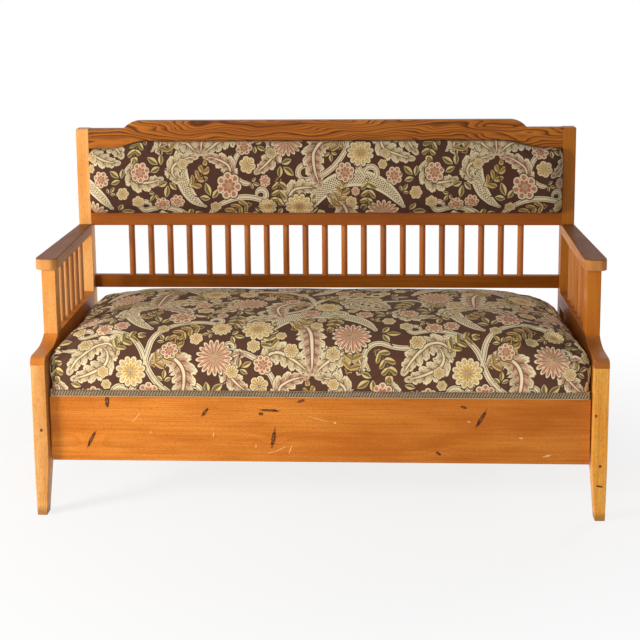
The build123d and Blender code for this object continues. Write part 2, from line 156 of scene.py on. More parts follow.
# lacquered pine: a stack of growth rings cut by the face, with a wandering heart
pineGrain = {
    "ringWidth": 0.0050,
    "heart": (0.0, 0.0),     # heart of the log, across and through the board
    "wander": 0.030,         # how far it strays
    "wanderLength": 1.3,     # waves for each metre along
    "wanderAcross": 3.0,
    "stray": 2.2,            # rings by which their spacing strays
    "lateStrength": 0.42,
    "fibre": 0.30,
    "patchiness": 1.0,
    "darkEnd": 0.0,          # painted shade: how much darker the tone grows towards the far end, for the falloff of the light
    "mottle": 1.4,           # small blotches of old lacquer
    "dirtBelow": None,       # scuffed below this height
    "dirt": rgb(112, 72, 36),
    "paintedShadeAbove": None,       # painted shade on the top faces above this height
    # colour of the painted shade on the top faces
    "handled": rgb(112, 62, 34),
    "knot": rgb(66, 30, 16),
    "knotHeart": rgb(156, 92, 52),
    "bend": 0.005,           # how far a knot pushes the rings aside
    "raggedness": 1.3,       # of a knot's edge
    "dent": rgb(248, 206, 150),
    "relief": 0.0003,        # depth of the raised grain
    "roughness": 0.42,
    "wornSpread": 0.22,      # between the smoothest and the roughest places
    "coat": 0.10,
    "gloss": 0.10,
}
grainWaves = {  # waves for each metre: along the grain, across the face, through the board
    "ragged": (150.0, 150.0),
    "rings": (0.4, 55.0),    # the second along the rings' radius
    "streak": (5.0, 230.0, 230.0),
    "patch": (2.6, 14.0, 14.0),
    "mottle": (120.0, 260.0, 260.0),
    "wear": (12.0, 30.0, 30.0),
}


def tones(pale, middle, late=(176, 100, 36), shade=(150, 80, 28)):
    return {"pale": rgb(*pale), "middle": rgb(*middle), "late": rgb(*late), "shade": rgb(*shade)}


knotShape = {
    "bendReach": (0.04, 0.02),  # metres along and across
    "rim": (1.0, 0.3),          # share of its half length, and how softly it ends
    "heart": (0.42, 0.2),
}


def knotFields(along, across, knot, ragged):  # how it bends the rings, and masks of the whole and of its heart
    placeAlong, placeAcross, length, width, slant = knot
    dx, dz = along - placeAlong, across - placeAcross
    c, s = math.cos(slant), math.sin(slant)
    u = (dx * c + dz * s) / length
    v = (dz * c - dx * s) / width
    reach = (u * u + v * v).step("SQRT") + ragged
    far, wide = knotShape["bendReach"]
    bend = ((dx * dx / (far * far) + dz * dz / (wide * wide)) * -1.0).step("EXPONENT")
    return bend, reach.under(*knotShape["rim"]), reach.under(*knotShape["heart"])


def makePine(name, order, tone, knots=(), dents=(), **changes):
    look = {**pineGrain, **changes}
    material, tree, shader = startMaterial(
        name, look["roughness"], Coat_Weight=look["coat"], Coat_Roughness=0.25, Specular_IOR_Level=look["gloss"]
    )
    axes = along, across, deep = objectAxes(tree, order)
    drift = noiseOver(axes, (look["wanderLength"], look["wanderAcross"], look["wanderAcross"]), 2.0) - 0.5
    aside = across - look["heart"][0] + drift * (2 * look["wander"])
    depth = deep - look["heart"][1]
    radius = (aside * aside + depth * depth).step("SQRT")
    ragged = (noiseOver(axes, grainWaves["ragged"], 2.0) - 0.5) * look["raggedness"]
    knotted = [knotFields(along, across, knot, ragged) for knot in knots]
    for bend, _, _ in knotted:
        radius = radius + bend * look["bend"]
    spread = noiseOver((along, radius), grainWaves["rings"], 1.0)
    phase = (radius / look["ringWidth"] + spread * look["stray"]).fract()
    late = phase * phase * phase.under(0.90, 0.09)
    streak = noiseOver(axes, grainWaves["streak"], 4.0, 0.65)
    patch = noiseOver(axes, grainWaves["patch"], 3.0, 0.6)
    mottle = noiseOver(axes, grainWaves["mottle"], 3.0, 0.7)
    color = layered(
        tone["pale"],
        ((patch - 0.5) * (2.4 * look["patchiness"]) + 0.5, tone["middle"]),
        (late * (streak + 0.4) * look["lateStrength"], tone["late"]),
        ((streak - 0.46) * (look["fibre"] * 2.4), tone["shade"]),
        ((mottle - 0.5) * look["mottle"], tone["shade"]),
    )
    if look["dirtBelow"]:
        scuffed = (along + patch * 0.03).under(look["dirtBelow"] + 0.015, 0.012)
        color = layered(color, (scuffed * 0.55, look["dirt"]))
    # painted shade: the top faces are darker, standing for the weaker light that falls on them
    if look["paintedShadeAbove"]:
        top = deep.under(look["paintedShadeAbove"], 0.0012) * -1.0 + 1.0
        color = layered(color, (top * (patch * 0.3 + 0.62), look["handled"]))
    # painted shade: the tone darkens towards the far end, for the falloff of the light from the left
    if look["darkEnd"]:
        color = layered(color, ((along + 0.1) * look["darkEnd"], tone["shade"]))
    if knots:
        whole, heart = (highest([fields[k] for fields in knotted]) for k in (1, 2))
        color = layered(color, (whole, look["knot"]), (heart * 0.75, look["knotHeart"]))
    if dents:
        mark = highest([knotFields(along, across, dent, ragged)[1] for dent in dents])
        color = layered(color, (mark * 0.7, look["dent"]))
    feed(shader.inputs["Base Color"], color)
    wear = noiseOver(axes, grainWaves["wear"], 2.0)
    feed(shader.inputs["Roughness"], wear * look["wornSpread"] + (look["roughness"] - look["wornSpread"] / 2))
    addBump(shader, streak * 0.7 - mark if dents else streak * 0.7 + late * 0.3, look["relief"], 0.5)
    return material


boardKnots = [  # along the board, height, half length, half width, slant
    (-0.6067, 0.3393, 0.0165, 0.0060, 1.52),
    (-0.6563, 0.2246, 0.0265, 0.0048, 1.10),
    (-0.3245, 0.3081, 0.0150, 0.0045, 0.94),
    (-0.1367, 0.3154, 0.0280, 0.0036, 3.10),
    (-0.1628, 0.3050, 0.0060, 0.0050, 2.81),
    (-0.0474, 0.3440, 0.0115, 0.0038, 0.38),
    (-0.1280, 0.2305, 0.0270, 0.0055, 1.40),
    (0.3452, 0.1899, 0.0080, 0.0040, 2.59),
    (0.4166, 0.3280, 0.0085, 0.0038, 2.81),
    (0.4659, 0.2945, 0.0290, 0.0050, 1.06),
]
boardDents = [
    (-0.4833, 0.2466, 0.0022, 0.0017, 2.66),
    (-0.3010, 0.2400, 0.0060, 0.0015, 1.55),
    (-0.1787, 0.2078, 0.0060, 0.0013, 1.55),
    (-0.1332, 0.1893, 0.0130, 0.0010, 0.20),
    (-0.1081, 0.1986, 0.0160, 0.0010, 0.49),
    (-0.0802, 0.1964, 0.0124, 0.0013, 1.23),
    (-0.5254, 0.2894, 0.0175, 0.0008, 0.84),
    (0.0004, 0.2905, 0.0260, 0.0008, 2.88),
    (0.0486, 0.2792, 0.0042, 0.0026, 2.82),
    (0.4311, 0.2850, 0.0059, 0.0018, 2.89),
    (0.5791, 0.2377, 0.0057, 0.0018, 3.02),
    (0.6536, 0.1852, 0.0117, 0.0024, 0.27),
]
legKnots = [
    (0.2590, -0.7955, 0.0055, 0.0040, 0.30),
    (0.3134, 0.7851, 0.0038, 0.0030, 0.30),
    (0.1648, 0.8001, 0.0050, 0.0035, 0.20),
    (0.1047, 0.7989, 0.0026, 0.0100, 0.20),
]

legLook = {
    "heart": (0.03, -0.3), "ringWidth": 0.0045, "mottle": 2.2, "patchiness": 1.6, "fibre": 0.5, "dirtBelow": 0.02,
}
armTones = tones((216, 154, 88), (186, 118, 60), (132, 76, 34))
# armrests: painted shade on their tops above 0.728 m
armLook = {"heart": (0.0, 0.55), "wander": 0.02, "lateStrength": 0.6, "roughness": 0.52, "paintedShadeAbove": 0.7280}
bareTones = tones((222, 188, 138), (206, 168, 116), (168, 124, 76), (160, 120, 78))
bareLook = {"roughness": 0.62, "coat": 0.0, "lateStrength": 0.55}
undressed = dict(nodes)


def dress(starts, material):  # for the nodes whose names start so and that have no material yet
    for name in [name for name in undressed if name.startswith(starts)]:
        mesh = undressed.pop(name).data
        mesh.materials.clear()
        mesh.materials.append(material)


# painted shade: the right rear post gets a darker copy of the upright pine, for the weaker light on the right
dress("rear_post_right", makePine(
    "pineRight", "ZXY", tones((184, 112, 34), (158, 90, 24), (112, 58, 12), (100, 50, 12)),
    heart=(0.6, 0.1), ringWidth=0.0055, wanderLength=2.2,
))
# painted shade: the right arm post gets a darker copy of the upright pine, for the weaker light on the right
dress("arm_post_right", makePine("pineArmPost", "ZXY", tones((206, 126, 38), (182, 100, 26)), heart=(0.6, -0.5)))
dress(("rear_post", "arm_post"), makePine(
    "pineUpright", "ZXY", tones((238, 180, 110), (220, 150, 76)),
    heart=(0.09, -0.3), ringWidth=0.0045, mottle=2.0, patchiness=1.5,
))
# painted light: the right leg gets a brighter, yellower copy of the leg pine
dress("front_leg_right", makePine("pineLegRight", "ZXY", tones((255, 194, 92), (240, 160, 58)), legKnots, **legLook))
dress("front_leg", makePine("pineLeg", "ZXY", tones((232, 180, 112), (208, 144, 76)), legKnots, **legLook))
# painted shade: the right arm's dowels get a darker copy of the dowel pine
dress("arm_spindles_right", makePine(
    "pineArmDowelRight", "ZXY", tones((208, 142, 78), (170, 102, 48)), ringWidth=0.003,
))
# painted light: the left arm's dowels get a lighter copy, for the light that strikes them
dress("arm_spindles", makePine("pineArmDowel", "ZXY", tones((232, 176, 116), (204, 138, 80)), ringWidth=0.003))
dress("back_spindle", makePine(
    "pineDowel", "ZXY", tones((196, 116, 48), (158, 86, 30), (116, 58, 14), (108, 54, 14)),
    ringWidth=0.003, lateStrength=0.5, coat=0.5, roughness=0.36,
))
# painted shade: the right armrest is a copy with deeper painted shade on its top, for the weaker light on the right
dress("armrest_right", makePine("pineArmRight", "YXZ", armTones, **armLook, handled=rgb(84, 38, 14), coat=0.04))
dress("armrest", makePine("pineArm", "YXZ", armTones, **armLook))
# painted shade: the right arm rail gets a darker copy of pineDeep, for the weaker light on the right
dress("arm_rail_right", makePine(
    "pineArmRail", "YZX", tones((188, 116, 54), (160, 90, 34), (124, 66, 22), (110, 56, 18)),
))
dress(("arm_rail", "side_panel"), makePine("pineDeep", "YZX", tones((216, 140, 64), (194, 114, 42))))
dress("crest_rail", makePine(
    "pineCrest", "XZY", tones((186, 112, 38), (160, 88, 22), (86, 40, 6), (120, 62, 14)),
    heart=(0.95, 0.27), ringWidth=0.0105, lateStrength=1.7, wander=0.10, wanderLength=2.6,
    wanderAcross=12.0, fibre=0.25,
))
dress(("middle_back_rail", "rear_apron"), makePine(
    "pineRail", "XZY", tones((168, 94, 30), (146, 76, 20), (110, 54, 12), (102, 50, 12)),
    heart=(0.62, 0.2), lateStrength=0.5, fibre=0.5, mottle=2.0,
))
dress("lower_back_rail", makePine(
    "pineLowRail", "XZY", tones((148, 82, 16), (124, 64, 8), (94, 44, 4), (90, 42, 6)),
    heart=(0.5, 0.2), lateStrength=0.5, mottle=2.0,
))
# the front board: painted shade darkens its right end
dress("front_board", makePine(
    "pineBoard", "XZY", tones((228, 142, 54), (200, 112, 32), (172, 88, 20), (152, 76, 16)), boardKnots, boardDents,
    heart=(0.22, -0.40), wander=0.014, lateStrength=0.5, wanderLength=0.9, fibre=0.5,
    patchiness=1.6, darkEnd=0.35, mottle=2.4,
))
dress(
    ("box_side", "box_runners", "sliding_slats", "fixed_slats", "seat_battens", "seat_ledges"),
    makePine("bareDeep", "YXZ", bareTones, **bareLook),
)


def makeSteel():
    material, tree, shader = startMaterial("boltSteel", 0.42, Metallic=1.0)
    cloud = noiseOver(objectAxes(tree, "XYZ"), (300.0, 300.0, 300.0), 3.0)
    feed(shader.inputs["Base Color"], layered(rgb(168, 166, 160), (cloud, rgb(120, 112, 100))))
    feed(shader.inputs["Roughness"], cloud * 0.3 + 0.3)
    return material


boltSteel = makeSteel()
dress("prop_leg_bolts", boltSteel)
dress("", makePine("bareAcross", "XZY", bareTones, **bareLook))  # all that is left
print("timber dressed")

# the cover: a woven floral, drawn from curves and rosettes that each face looks up by itself
cover = {
    "repeat": (960.0, 620.0),  # millimetres across and up the cloth
    "ground": rgb(68, 42, 38),
    "cream": rgb(248, 232, 190),
    "sand": rgb(204, 172, 130),
    "blush": rgb(204, 146, 128),
    "coral": rgb(186, 68, 58),
    "ochre": rgb(196, 146, 66),
    "straw": rgb(238, 206, 130),
    "olive": rgb(128, 116, 62),
    "moss": rgb(88, 80, 44),
    "faded": rgb(86, 56, 50),
}
stitch = 5.0  # millimetres between the points that a curve is drawn from


def tracePath(start, heading, length, turns):  # turns: (share of the length, degrees turned)
    steps = int(math.ceil(length / stitch))
    shares = np.cumsum([0.0] + [share for share, _ in turns])
    angles = np.cumsum([heading] + [turn for _, turn in turns])
    middle = (np.arange(steps) + 0.5) / steps * shares[-1]
    way = np.radians(np.interp(middle, shares, angles))
    step = np.stack([np.cos(way), np.sin(way)], 1) * (length / steps)
    return np.vstack([[start], np.array(start) + np.cumsum(step, 0)])


straps = [  # start, heading, length, turns, half width, kind: 1 plain band, 2 lattice band
    ((70, 20), 80, 640, [(0.14, 300), (0.36, -95), (0.30, 70), (0.20, 330)], 8.5, 1),
    ((420, 60), 100, 600, [(0.14, -300), (0.40, 100), (0.26, -30), (0.20, -330)], 8.5, 1),
    ((60, 330), 62, 430, [(0.5, -70), (0.5, -75)], 25, 2),
    ((470, 250), 150, 330, [(0.2, -330), (0.5, 70), (0.3, 120)], 7.5, 1),
    ((250, 20), 150, 300, [(1.0, -110)], 22, 2),
    ((140, 600), 280, 380, [(0.18, 300), (0.5, -60), (0.32, 160)], 7.5, 1),
]
plumes = [  # root, heading, length, turns, half width, tint
    ((240, 190), 92, 216, [(0.5, -8), (0.5, -70)], 43, 0.2),
    ((232, 186), 132, 194, [(0.5, 25), (0.5, 150)], 35, 0.6),
    ((248, 186), 48, 194, [(0.5, -25), (0.5, -150)], 35, 0.8),
    ((226, 176), 180, 151, [(0.5, 35), (0.5, 180)], 29, 0.4),
    ((254, 176), 0, 151, [(0.5, -35), (0.5, -180)], 29, 0.1),
    ((20, 500), 60, 205, [(0.5, -20), (0.5, -140)], 37, 0.3),
    ((30, 480), 10, 184, [(0.5, 20), (0.5, 150)], 32, 0.7),
    ((330, 400), 60, 227, [(0.4, 30), (0.6, 140)], 40, 0.2),
    ((340, 392), 10, 162, [(0.4, -20), (0.6, -160)], 30, 0.9),
    ((110, 110), 200, 162, [(0.4, -20), (0.6, -150)], 30, 0.6),
    ((420, 130), 30, 173, [(0.4, 20), (0.6, 150)], 32, 0.1),
]
sprays = [  # root, heading, length, turns, leaflet length, tint
    ((140, 190), 120, 120, [(1.0, -60)], 27, 0.2),
    ((350, 250), 60, 125, [(1.0, 60)], 27, 0.6),
    ((180, 420), 250, 110, [(1.0, 60)], 25, 0.8),
    ((300, 330), 150, 110, [(1.0, -70)], 25, 0.4),
    ((260, 520), 20, 130, [(1.0, 60)], 28, 0.1),
    ((60, 250), 210, 110, [(1.0, 80)], 25, 0.7),
    ((400, 30), 190, 120, [(1.0, 60)], 26, 0.3),
    ((150, 560), 60, 110, [(1.0, -60)], 25, 0.9),
    ((470, 420), 250, 110, [(1.0, 70)], 25, 0.5),
    ((200, 90), 20, 100, [(1.0, 70)], 24, 0.2),
]
blooms = [  # centre, radius, turn, kind: 1 daisy, 2 chrysanthemum, 3 rose, 4 small blossom, 5 three leaves
    ((128, 300), 56, 10, 1), ((400, 330), 46, 30, 2), ((200, 500), 43, 0, 2), ((330, 90), 40, 20, 3),
    ((40, 130), 31, 40, 3), ((440, 540), 52, 50, 1), ((90, 430), 27, 15, 3), ((250, 440), 30, 10, 3),
    ((310, 560), 25, 70, 3), ((180, 240), 21, 5, 4), ((300, 250), 21, 35, 4), ((380, 210), 27, 20, 3),
    ((30, 40), 20, 60, 4), ((110, 30), 25, 0, 3), ((470, 190), 19, 20, 4), ((60, 590), 23, 30, 4),
    ((230, 350), 19, 50, 4), ((385, 600), 20, 10, 4), ((20, 380), 20, 30, 4), ((285, 20), 18, 0, 4),
    ((180, 155), 17, 25, 4), ((455, 20), 30, 15, 2), ((330, 300), 16, 40, 4), ((120, 500), 17, 0, 4),
]


def withGlide(curves):  # every motif again, mirrored and half a repeat further up
    wide, tall = cover["repeat"]
    glided = []
    for start, heading, length, turns, half, code in curves:
        turned = [(share, -turn) for share, turn in turns]
        glided.append(((wide - start[0], start[1] + tall / 2), 180 - heading, length, turned, half, code))
    return curves + glided


straps, plumes, sprays = withGlide(straps), withGlide(plumes), withGlide(sprays)
blooms += [((cover["repeat"][0] - x, y + cover["repeat"][1] / 2), r, -turn, kind) for (x, y), r, turn, kind in blooms]


def widthAlong(kind, share):  # how a curve's half width grows and tapers, as a share of its widest
    if kind == "strap":
        return np.clip(np.minimum(share, 1 - share) * 14 + 0.45, 0, 1)
    if kind == "lattice":
        return np.sin(np.pi * np.clip(share, 0.02, 0.98)) ** 0.45
    if kind == "plume":
        return np.sin(np.pi * np.clip(share * 0.93 + 0.05, 0, 1)) ** 0.7
    return np.clip(np.minimum(share * 6 + 0.2, (1 - share) * 2.4 + 0.18), 0, 1)


filling = {
    "smallest": 14.0,  # radius of the bare ground that is still filled
    "largest": 32.0,
    "count": 70,
    "grid": 8.0,
    "margin": 80,
}


def fillGaps():  # small flowers and leaf clusters wherever the ground is still bare
    wide, tall = cover["repeat"]
    around = [(i * wide, j * tall) for i in (-1, 0, 1) for j in (-1, 0, 1)]
    spots = []
    for kind, curves in (("strap", straps), ("plume", plumes), ("spray", sprays)):
        for start, heading, length, turns, half, code in curves:
            line = tracePath(start, heading, length, turns)
            way = np.gradient(line, axis=0)
            side = np.stack([-way[:, 1], way[:, 0]], 1) / np.linalg.norm(way, axis=1)[:, None]
            width = half * widthAlong(kind, np.linspace(0, 1, len(line)))[:, None]
            spots += [line + side * width * share for share in (-1, -0.5, 0, 0.5, 1)]
    spots = np.vstack(spots) % (wide, tall)
    spots = np.vstack([spots + shift for shift in around])
    margin, pitch = filling["margin"], filling["grid"]
    spots = spots[(spots > -margin).all(1) & (spots < (wide / 2 + margin, tall + margin)).all(1)]
    grid = np.stack(np.meshgrid(np.arange(0, wide / 2, pitch), np.arange(0, tall, pitch)), 2).reshape(-1, 2)
    clear = np.concatenate([
        np.sqrt(((part[:, None] - spots) ** 2).sum(2).min(1)) for part in np.array_split(grid, 60)
    ])

    def beside(clear, x, y, radius):  # what stays clear beside a flower
        for shiftX, shiftY in around:
            clear = np.minimum(clear, np.linalg.norm(grid - (x + shiftX, y + shiftY), axis=1) - radius)
        return clear

    for (x, y), radius, _, _ in blooms:
        clear = beside(clear, x, y, radius)
    added = []
    for number in range(filling["count"]):
        widest = int(clear.argmax())
        if clear[widest] < filling["smallest"]:
            break
        place = grid[widest]
        kind = (5, 5, 4, 5, 5, 3)[number % 6]
        radius = min(float(clear[widest]) * (1.2 if kind == 5 else 0.95), filling["largest"])
        for x, y, turn in ((place[0], place[1], number * 37), (wide - place[0], place[1] + tall / 2, -number * 37)):
            added.append(((x, y), radius, turn, kind))
            clear = beside(clear, x, y, radius)
    return added


def repeatsOver(centre):  # box of the cloth's faces, and the shifts of the drawing's repeats that may reach it
    low, high = centre.min(0) - 60, centre.max(0) + 60
    wide, tall = cover["repeat"]
    across = range(math.floor(low[0] / wide) - 1, math.ceil(high[0] / wide) + 1)
    up = range(math.floor(low[1] / tall) - 2, math.ceil(high[1] / tall) + 1)
    return low, high, [(i * wide, j * tall) for i in across for j in up]


def lookUpCurves(corners, curves, family):  # per corner: millimetres along, share of the half width, code
    found = np.zeros(corners.shape[:2] + (3,))
    found[..., 1] = 9.0
    best = np.full(len(corners), 3.0)
    centre = corners.mean(1)
    low, high, shifts = repeatsOver(centre)
    stretch, spare = 9, 2  # points looked at together, and those that two stretches share
    for start, heading, length, turns, half, code in curves:
        kind = "lattice" if (family, code) == ("strap", 2) else family
        base = tracePath(start, heading, length, turns)
        pitch = np.linalg.norm(base[1] - base[0])
        reach = half * 1.6 + 6
        for first in range(0, len(base) - 1, stretch):
            begin, end = max(0, first - spare), min(len(base), first + stretch + spare + 1)
            for shift in shifts:
                line = base[begin:end] + shift
                if (line.max(0) + reach < low).any() or (line.min(0) - reach > high).any():
                    continue
                picked = np.nonzero((centre > line.min(0) - reach).all(1) & (centre < line.max(0) + reach).all(1))[0]
                if not len(picked):
                    continue
                points = corners[picked].reshape(-1, 2)
                step = np.diff(line, axis=0)
                offset = points[:, None] - line[:-1]
                share = np.clip((offset * step).sum(2) / (step * step).sum(1), 0, 1)
                gap = np.linalg.norm(offset - share[..., None] * step, axis=2)
                closest = gap.argmin(1)
                rows = np.arange(len(points))
                along = (begin + closest + share[rows, closest]) * pitch
                width = np.maximum(half * widthAlong(kind, along / length), 0.8)
                values = np.stack([along, np.minimum(gap[rows, closest] / width, 9.0)], 1).reshape(-1, 4, 2)
                score = values[..., 1].mean(1)
                better = score < best[picked]
                target = picked[better]
                best[target] = score[better]
                found[target, :, :2] = values[better]
                found[target, :, 2] = code
    return found


def lookUpBlooms(corners):  # per corner: place in the bloom, in radii, and its kind
    found = np.zeros(corners.shape[:2] + (3,))
    found[..., 0] = 9.0
    best = np.full(len(corners), 1.5)
    centre = corners.mean(1)
    low, high, shifts = repeatsOver(centre)
    for place, radius, turn, kind in blooms:
        c, s = math.cos(math.radians(turn)), math.sin(math.radians(turn))
        for shift in shifts:
            middle = np.array(place) + shift
            if (middle + radius * 1.5 < low).any() or (middle - radius * 1.5 > high).any():
                continue
            score = np.linalg.norm(centre - middle, axis=1) / radius
            target = np.nonzero(score < best)[0]
            best[target] = score[target]
            local = (corners[target] - middle) / radius
            found[target, :, 0] = local[..., 0] * c + local[..., 1] * s
            found[target, :, 1] = local[..., 1] * c - local[..., 0] * s
            found[target, :, 2] = kind
    return found


blooms += fillGaps()
print("cover laid out:", len(straps + plumes + sprays), "curves,", len(blooms), "flowers")


def weavePattern(mesh, shift):  # writes each corner's place in the drawing, from the cloth's own UV map
    flat = np.zeros(len(mesh.loops) * 2, np.float32)
    mesh.uv_layers["cloth"].uv.foreach_get("vector", flat)
    corners = flat.reshape(-1, 4, 2).astype(float) * 1000 + shift
    drawn = {name: lookUpCurves(corners, curves, name)
             for name, curves in (("strap", straps), ("plume", plumes), ("spray", sprays))}
    drawn["bloom"] = lookUpBlooms(corners)
    for name, values in drawn.items():
        layer = mesh.attributes.new(name, "FLOAT_VECTOR", "CORNER")
        layer.data.foreach_set("vector", values.astype(np.float32).ravel())


def attributeParts(tree, name):
    node = tree.nodes.new("ShaderNodeAttribute")
    node.attribute_name = name
    return partsOf(Field(node.outputs["Vector"]))


def woven(color, *layers):  # layers as above, with the cover's colours given by name
    named = [cover[value] if isinstance(value, str) else value for value in (color, *(above for _, above in layers))]
    return layered(named[0], *zip((share for share, _ in layers), named[1:]))


def layOver(color, mask, edge, above):  # a motif with the dark outline of the weave round it
    return woven(color, (edge, "ground"), (mask, above))


def drawStraps(tree, color):
    along, share, code = attributeParts(tree, "strap")
    twist = (along / 5.5).fract().near(0.5, 0.2) * share.under(0.4, 0.1) * 0.45
    band = woven("cream", (share.near(0.55, 0.12) * 0.8, "ground"), (twist, "sand"))
    a = along / 9.0
    b = share * (24.0 / 9.0)
    mesh = (a + b).fract().near(0.5, 0.2).step("MAXIMUM", (a - b).fract().near(0.5, 0.2))
    net = woven("ground", (mesh, "cream"), (share.near(0.86, 0.16), "cream"))
    fill = woven(band, (code.step("COMPARE", 2.0, 0.3), net))
    return layOver(color, share.under(1.0, 0.05), share.under(1.2, 0.05), fill)


def drawPlumes(tree, color, speck):
    along, share, tint = attributeParts(tree, "plume")
    lobe = (along / 27.0 + share * 0.8).zigzag()
    small = (along / 9.0 + share * 1.3).zigzag()
    edge = share + lobe * lobe * 0.42 + small * small * 0.09
    vein = lobe.near(1.0, 0.14) * (share - 0.2).step("GREATER_THAN", 0.0)
    fill = woven(
        "sand",
        (share * 1.2 - 0.1, "cream"),
        (tint.fract().under(0.25, 0.05) * share.under(0.55, 0.2) * 0.8, "blush"),
        (small.near(0.95, 0.2) * 0.55, "olive"),
        (lobe.near(0.0, 0.12) * 0.6, "cream"),
        (speck * share.near(0.5, 0.35) * 0.45, "ground"),
        (vein * 0.85, "ground"),
        (share.near(0.16, 0.05) * 0.7, "ground"),
        (share.under(0.1, 0.03), "cream"),
        (edge.near(0.97, 0.07), "cream"),
    )
    return layOver(color, edge.under(1.04, 0.04), edge.under(1.14, 0.04), fill)


def drawSprays(tree, color):
    along, share, tint = attributeParts(tree, "spray")
    place = (along / 25.0 - share * 0.62).fract() - 0.5
    size = (share.step("MINIMUM", 1.0) * math.pi).step("SINE").step("MAXIMUM", 0.0).step("POWER", 0.6) * 0.38
    inside = place.absolute() - size
    fill = woven(
        "olive",
        (place.under(0.0, 0.03), "straw"),
        (tint.fract().under(0.45, 0.05) * 0.6, "ochre"),
        (place.near(0.0, 0.05), "moss"),
        (inside.near(-0.03, 0.05) * 0.5, "cream"),
    )
    leaflet = inside.under(0.0, 0.03) * share.under(0.98, 0.03)
    outline = inside.under(0.06, 0.03) * share.under(1.06, 0.03)
    return woven(layOver(color, leaflet, outline, fill), (share.under(0.07, 0.02), "olive"))


def leafOutline(along, aside, begin, length, half):  # below zero inside a pointed leaf
    place = ((along - begin) / length).step("MAXIMUM", 0.0).step("MINIMUM", 1.0)
    return aside.absolute() - (place * math.pi).step("SINE") * half + 0.02


def drawTrefoil(color, x, y, shown):  # three leaves on a stem
    base, aside, lean = x + 0.8, y.absolute(), math.radians(58)
    middle = leafOutline(base, aside, 0.35, 1.4, 0.34)
    along = base * math.cos(lean) + aside * math.sin(lean)
    across = aside * math.cos(lean) - base * math.sin(lean)
    lower = leafOutline(along, across, 0.12, 1.15, 0.30)
    outline = middle.step("MINIMUM", lower)
    half = layered(across, (middle.under(lower, 0.02), y))
    fill = woven(
        "olive",
        (half.under(0.0, 0.03), "straw"),
        (half.near(0.0, 0.05), "moss"),
        (outline.near(-0.03, 0.05) * 0.5, "cream"),
    )
    color = woven(color, (y.near(0.0, 0.05) * base.near(0.3, 0.32) * shown, "olive"))
    return layOver(color, outline.under(0.0, 0.03) * shown, outline.under(0.09, 0.03) * shown, fill)


def drawBlooms(tree, color, speck):
    x, y, kind = attributeParts(tree, "bloom")
    radius = (x * x + y * y).step("SQRT")
    angle = y.step("ARCTAN2", x) / (2 * math.pi)
    daisy, mum, rose, leafy = (kind.step("COMPARE", code, 0.3) for code in (1.0, 2.0, 3.0, 5.0))
    petals = daisy * 11.0 + mum * 6.0 + rose * 1.0 + 6.0
    outer = (angle * petals).zigzag()
    inner = (angle * petals + 0.5).zigzag()
    rim = radius + outer.step("POWER", 2.2) * (daisy * 0.14 + 0.22)
    ring = radius + inner.step("POWER", 2.2) * 0.2
    deep = woven("ochre", (daisy + rose * 0.75, "coral"))
    light = woven("straw", (daisy * 0.8 + rose, "blush"))
    top = woven(deep, (ring * 1.5, light), (inner.near(0.0, 0.16) * 0.7, deep), (ring.near(0.62, 0.06), "cream"))
    fill = woven(
        deep,
        (radius * 0.8, light),
        (outer.near(0.72, 0.24) * 0.8, "cream"),
        (outer.near(1.0, 0.14), "ground"),
        (rim.near(0.97, 0.06), "cream"),
        (ring.under(0.66, 0.03) * (mum + rose).step("MINIMUM", 1.0), top),
        (radius.under(0.26, 0.03), woven("sand", (speck, "moss"))),
    )
    whole = leafy * -1.0 + 1.0
    color = layOver(color, rim.under(1.02, 0.03) * whole, rim.under(1.12, 0.03) * whole, fill)
    return drawTrefoil(color, x, y, leafy)


thread = {
    "weft": 0.0011,           # metres between the threads
    "warp": 0.0014,
    "relief": 0.00035,
    "slub": (420.0, 1500.0),  # waves for each metre of the yarn's unevenness
    "specks": 210.0,
    "fading": 26.0,
}


def makeCover(name, paintedLighting, tone):  # the drawing under a wash of painted lighting: warm light on the seat, shade on the back
    material, tree, shader = startMaterial(
        name, 0.88, Sheen_Weight=0.04, Sheen_Roughness=0.5, Specular_IOR_Level=0.1
    )
    uv = tree.nodes.new("ShaderNodeUVMap")
    uv.uv_map = "cloth"
    place = Field(uv.outputs[0])
    u, v, _ = partsOf(place)
    speck = addField("ShaderNodeTexVoronoi", {"Vector": place, "Scale": thread["specks"]}, "Distance").under(0.3, 0.12)
    color = layered(cover["ground"], (noiseField(place, thread["fading"], 3.0), cover["faded"]))
    color = drawStraps(tree, color)
    color = drawPlumes(tree, color, speck)
    color = drawSprays(tree, color)
    color = drawBlooms(tree, color, speck)
    slub = noiseOver((u, v), thread["slub"], 2.0, 0.6)
    feed(shader.inputs["Base Color"], layered(color, (paintedLighting, tone), ((slub - 0.42) * 1.1, cover["moss"])))
    weft = (v * (2 * math.pi / thread["weft"])).step("SINE")
    warp = (u * (2 * math.pi / thread["warp"])).step("SINE")
    addBump(shader, weft * warp * 0.5 + slub, thread["relief"], 0.5)
    return material


# painted light and shade: the seat's cloth gets a warm lit wash, the back's a dark shaded one
seatCover = makeCover("floralCoverSeat", 0.06, rgb(214, 140, 92))
backCover = makeCover("floralCoverBack", 0.30, rgb(66, 24, 18))
print("cover drawn")


# pads: a grid of cloth over the stuffing, with its sides turned down to the board
def softSection(t):  # the section of a stuffed edge: how far in and how far up
    return 1.5 * t * t * (1 - t) + t ** 3, 1.5 * t * (1 - t) ** 2 + 3 * t * t * (1 - t) + t ** 3


def softRise(share):  # a stuffed edge: straight up at 0, level at 1
    return np.interp(share, *softSection(np.linspace(0, 1, 60)))


def blendRise(a, b, power=2.6):  # two soft edges meeting at a corner without a ridge
    return 1 - ((1 - a) ** power + (1 - b) ** power) ** (1 / power)


def bell(value, centre, width):
    return np.exp(-(((value - centre) / width) ** 2))


def ramp(value, start, length):  # 0 up to the start, then rising to 1
    return np.clip((value - start) / length, 0, 1)


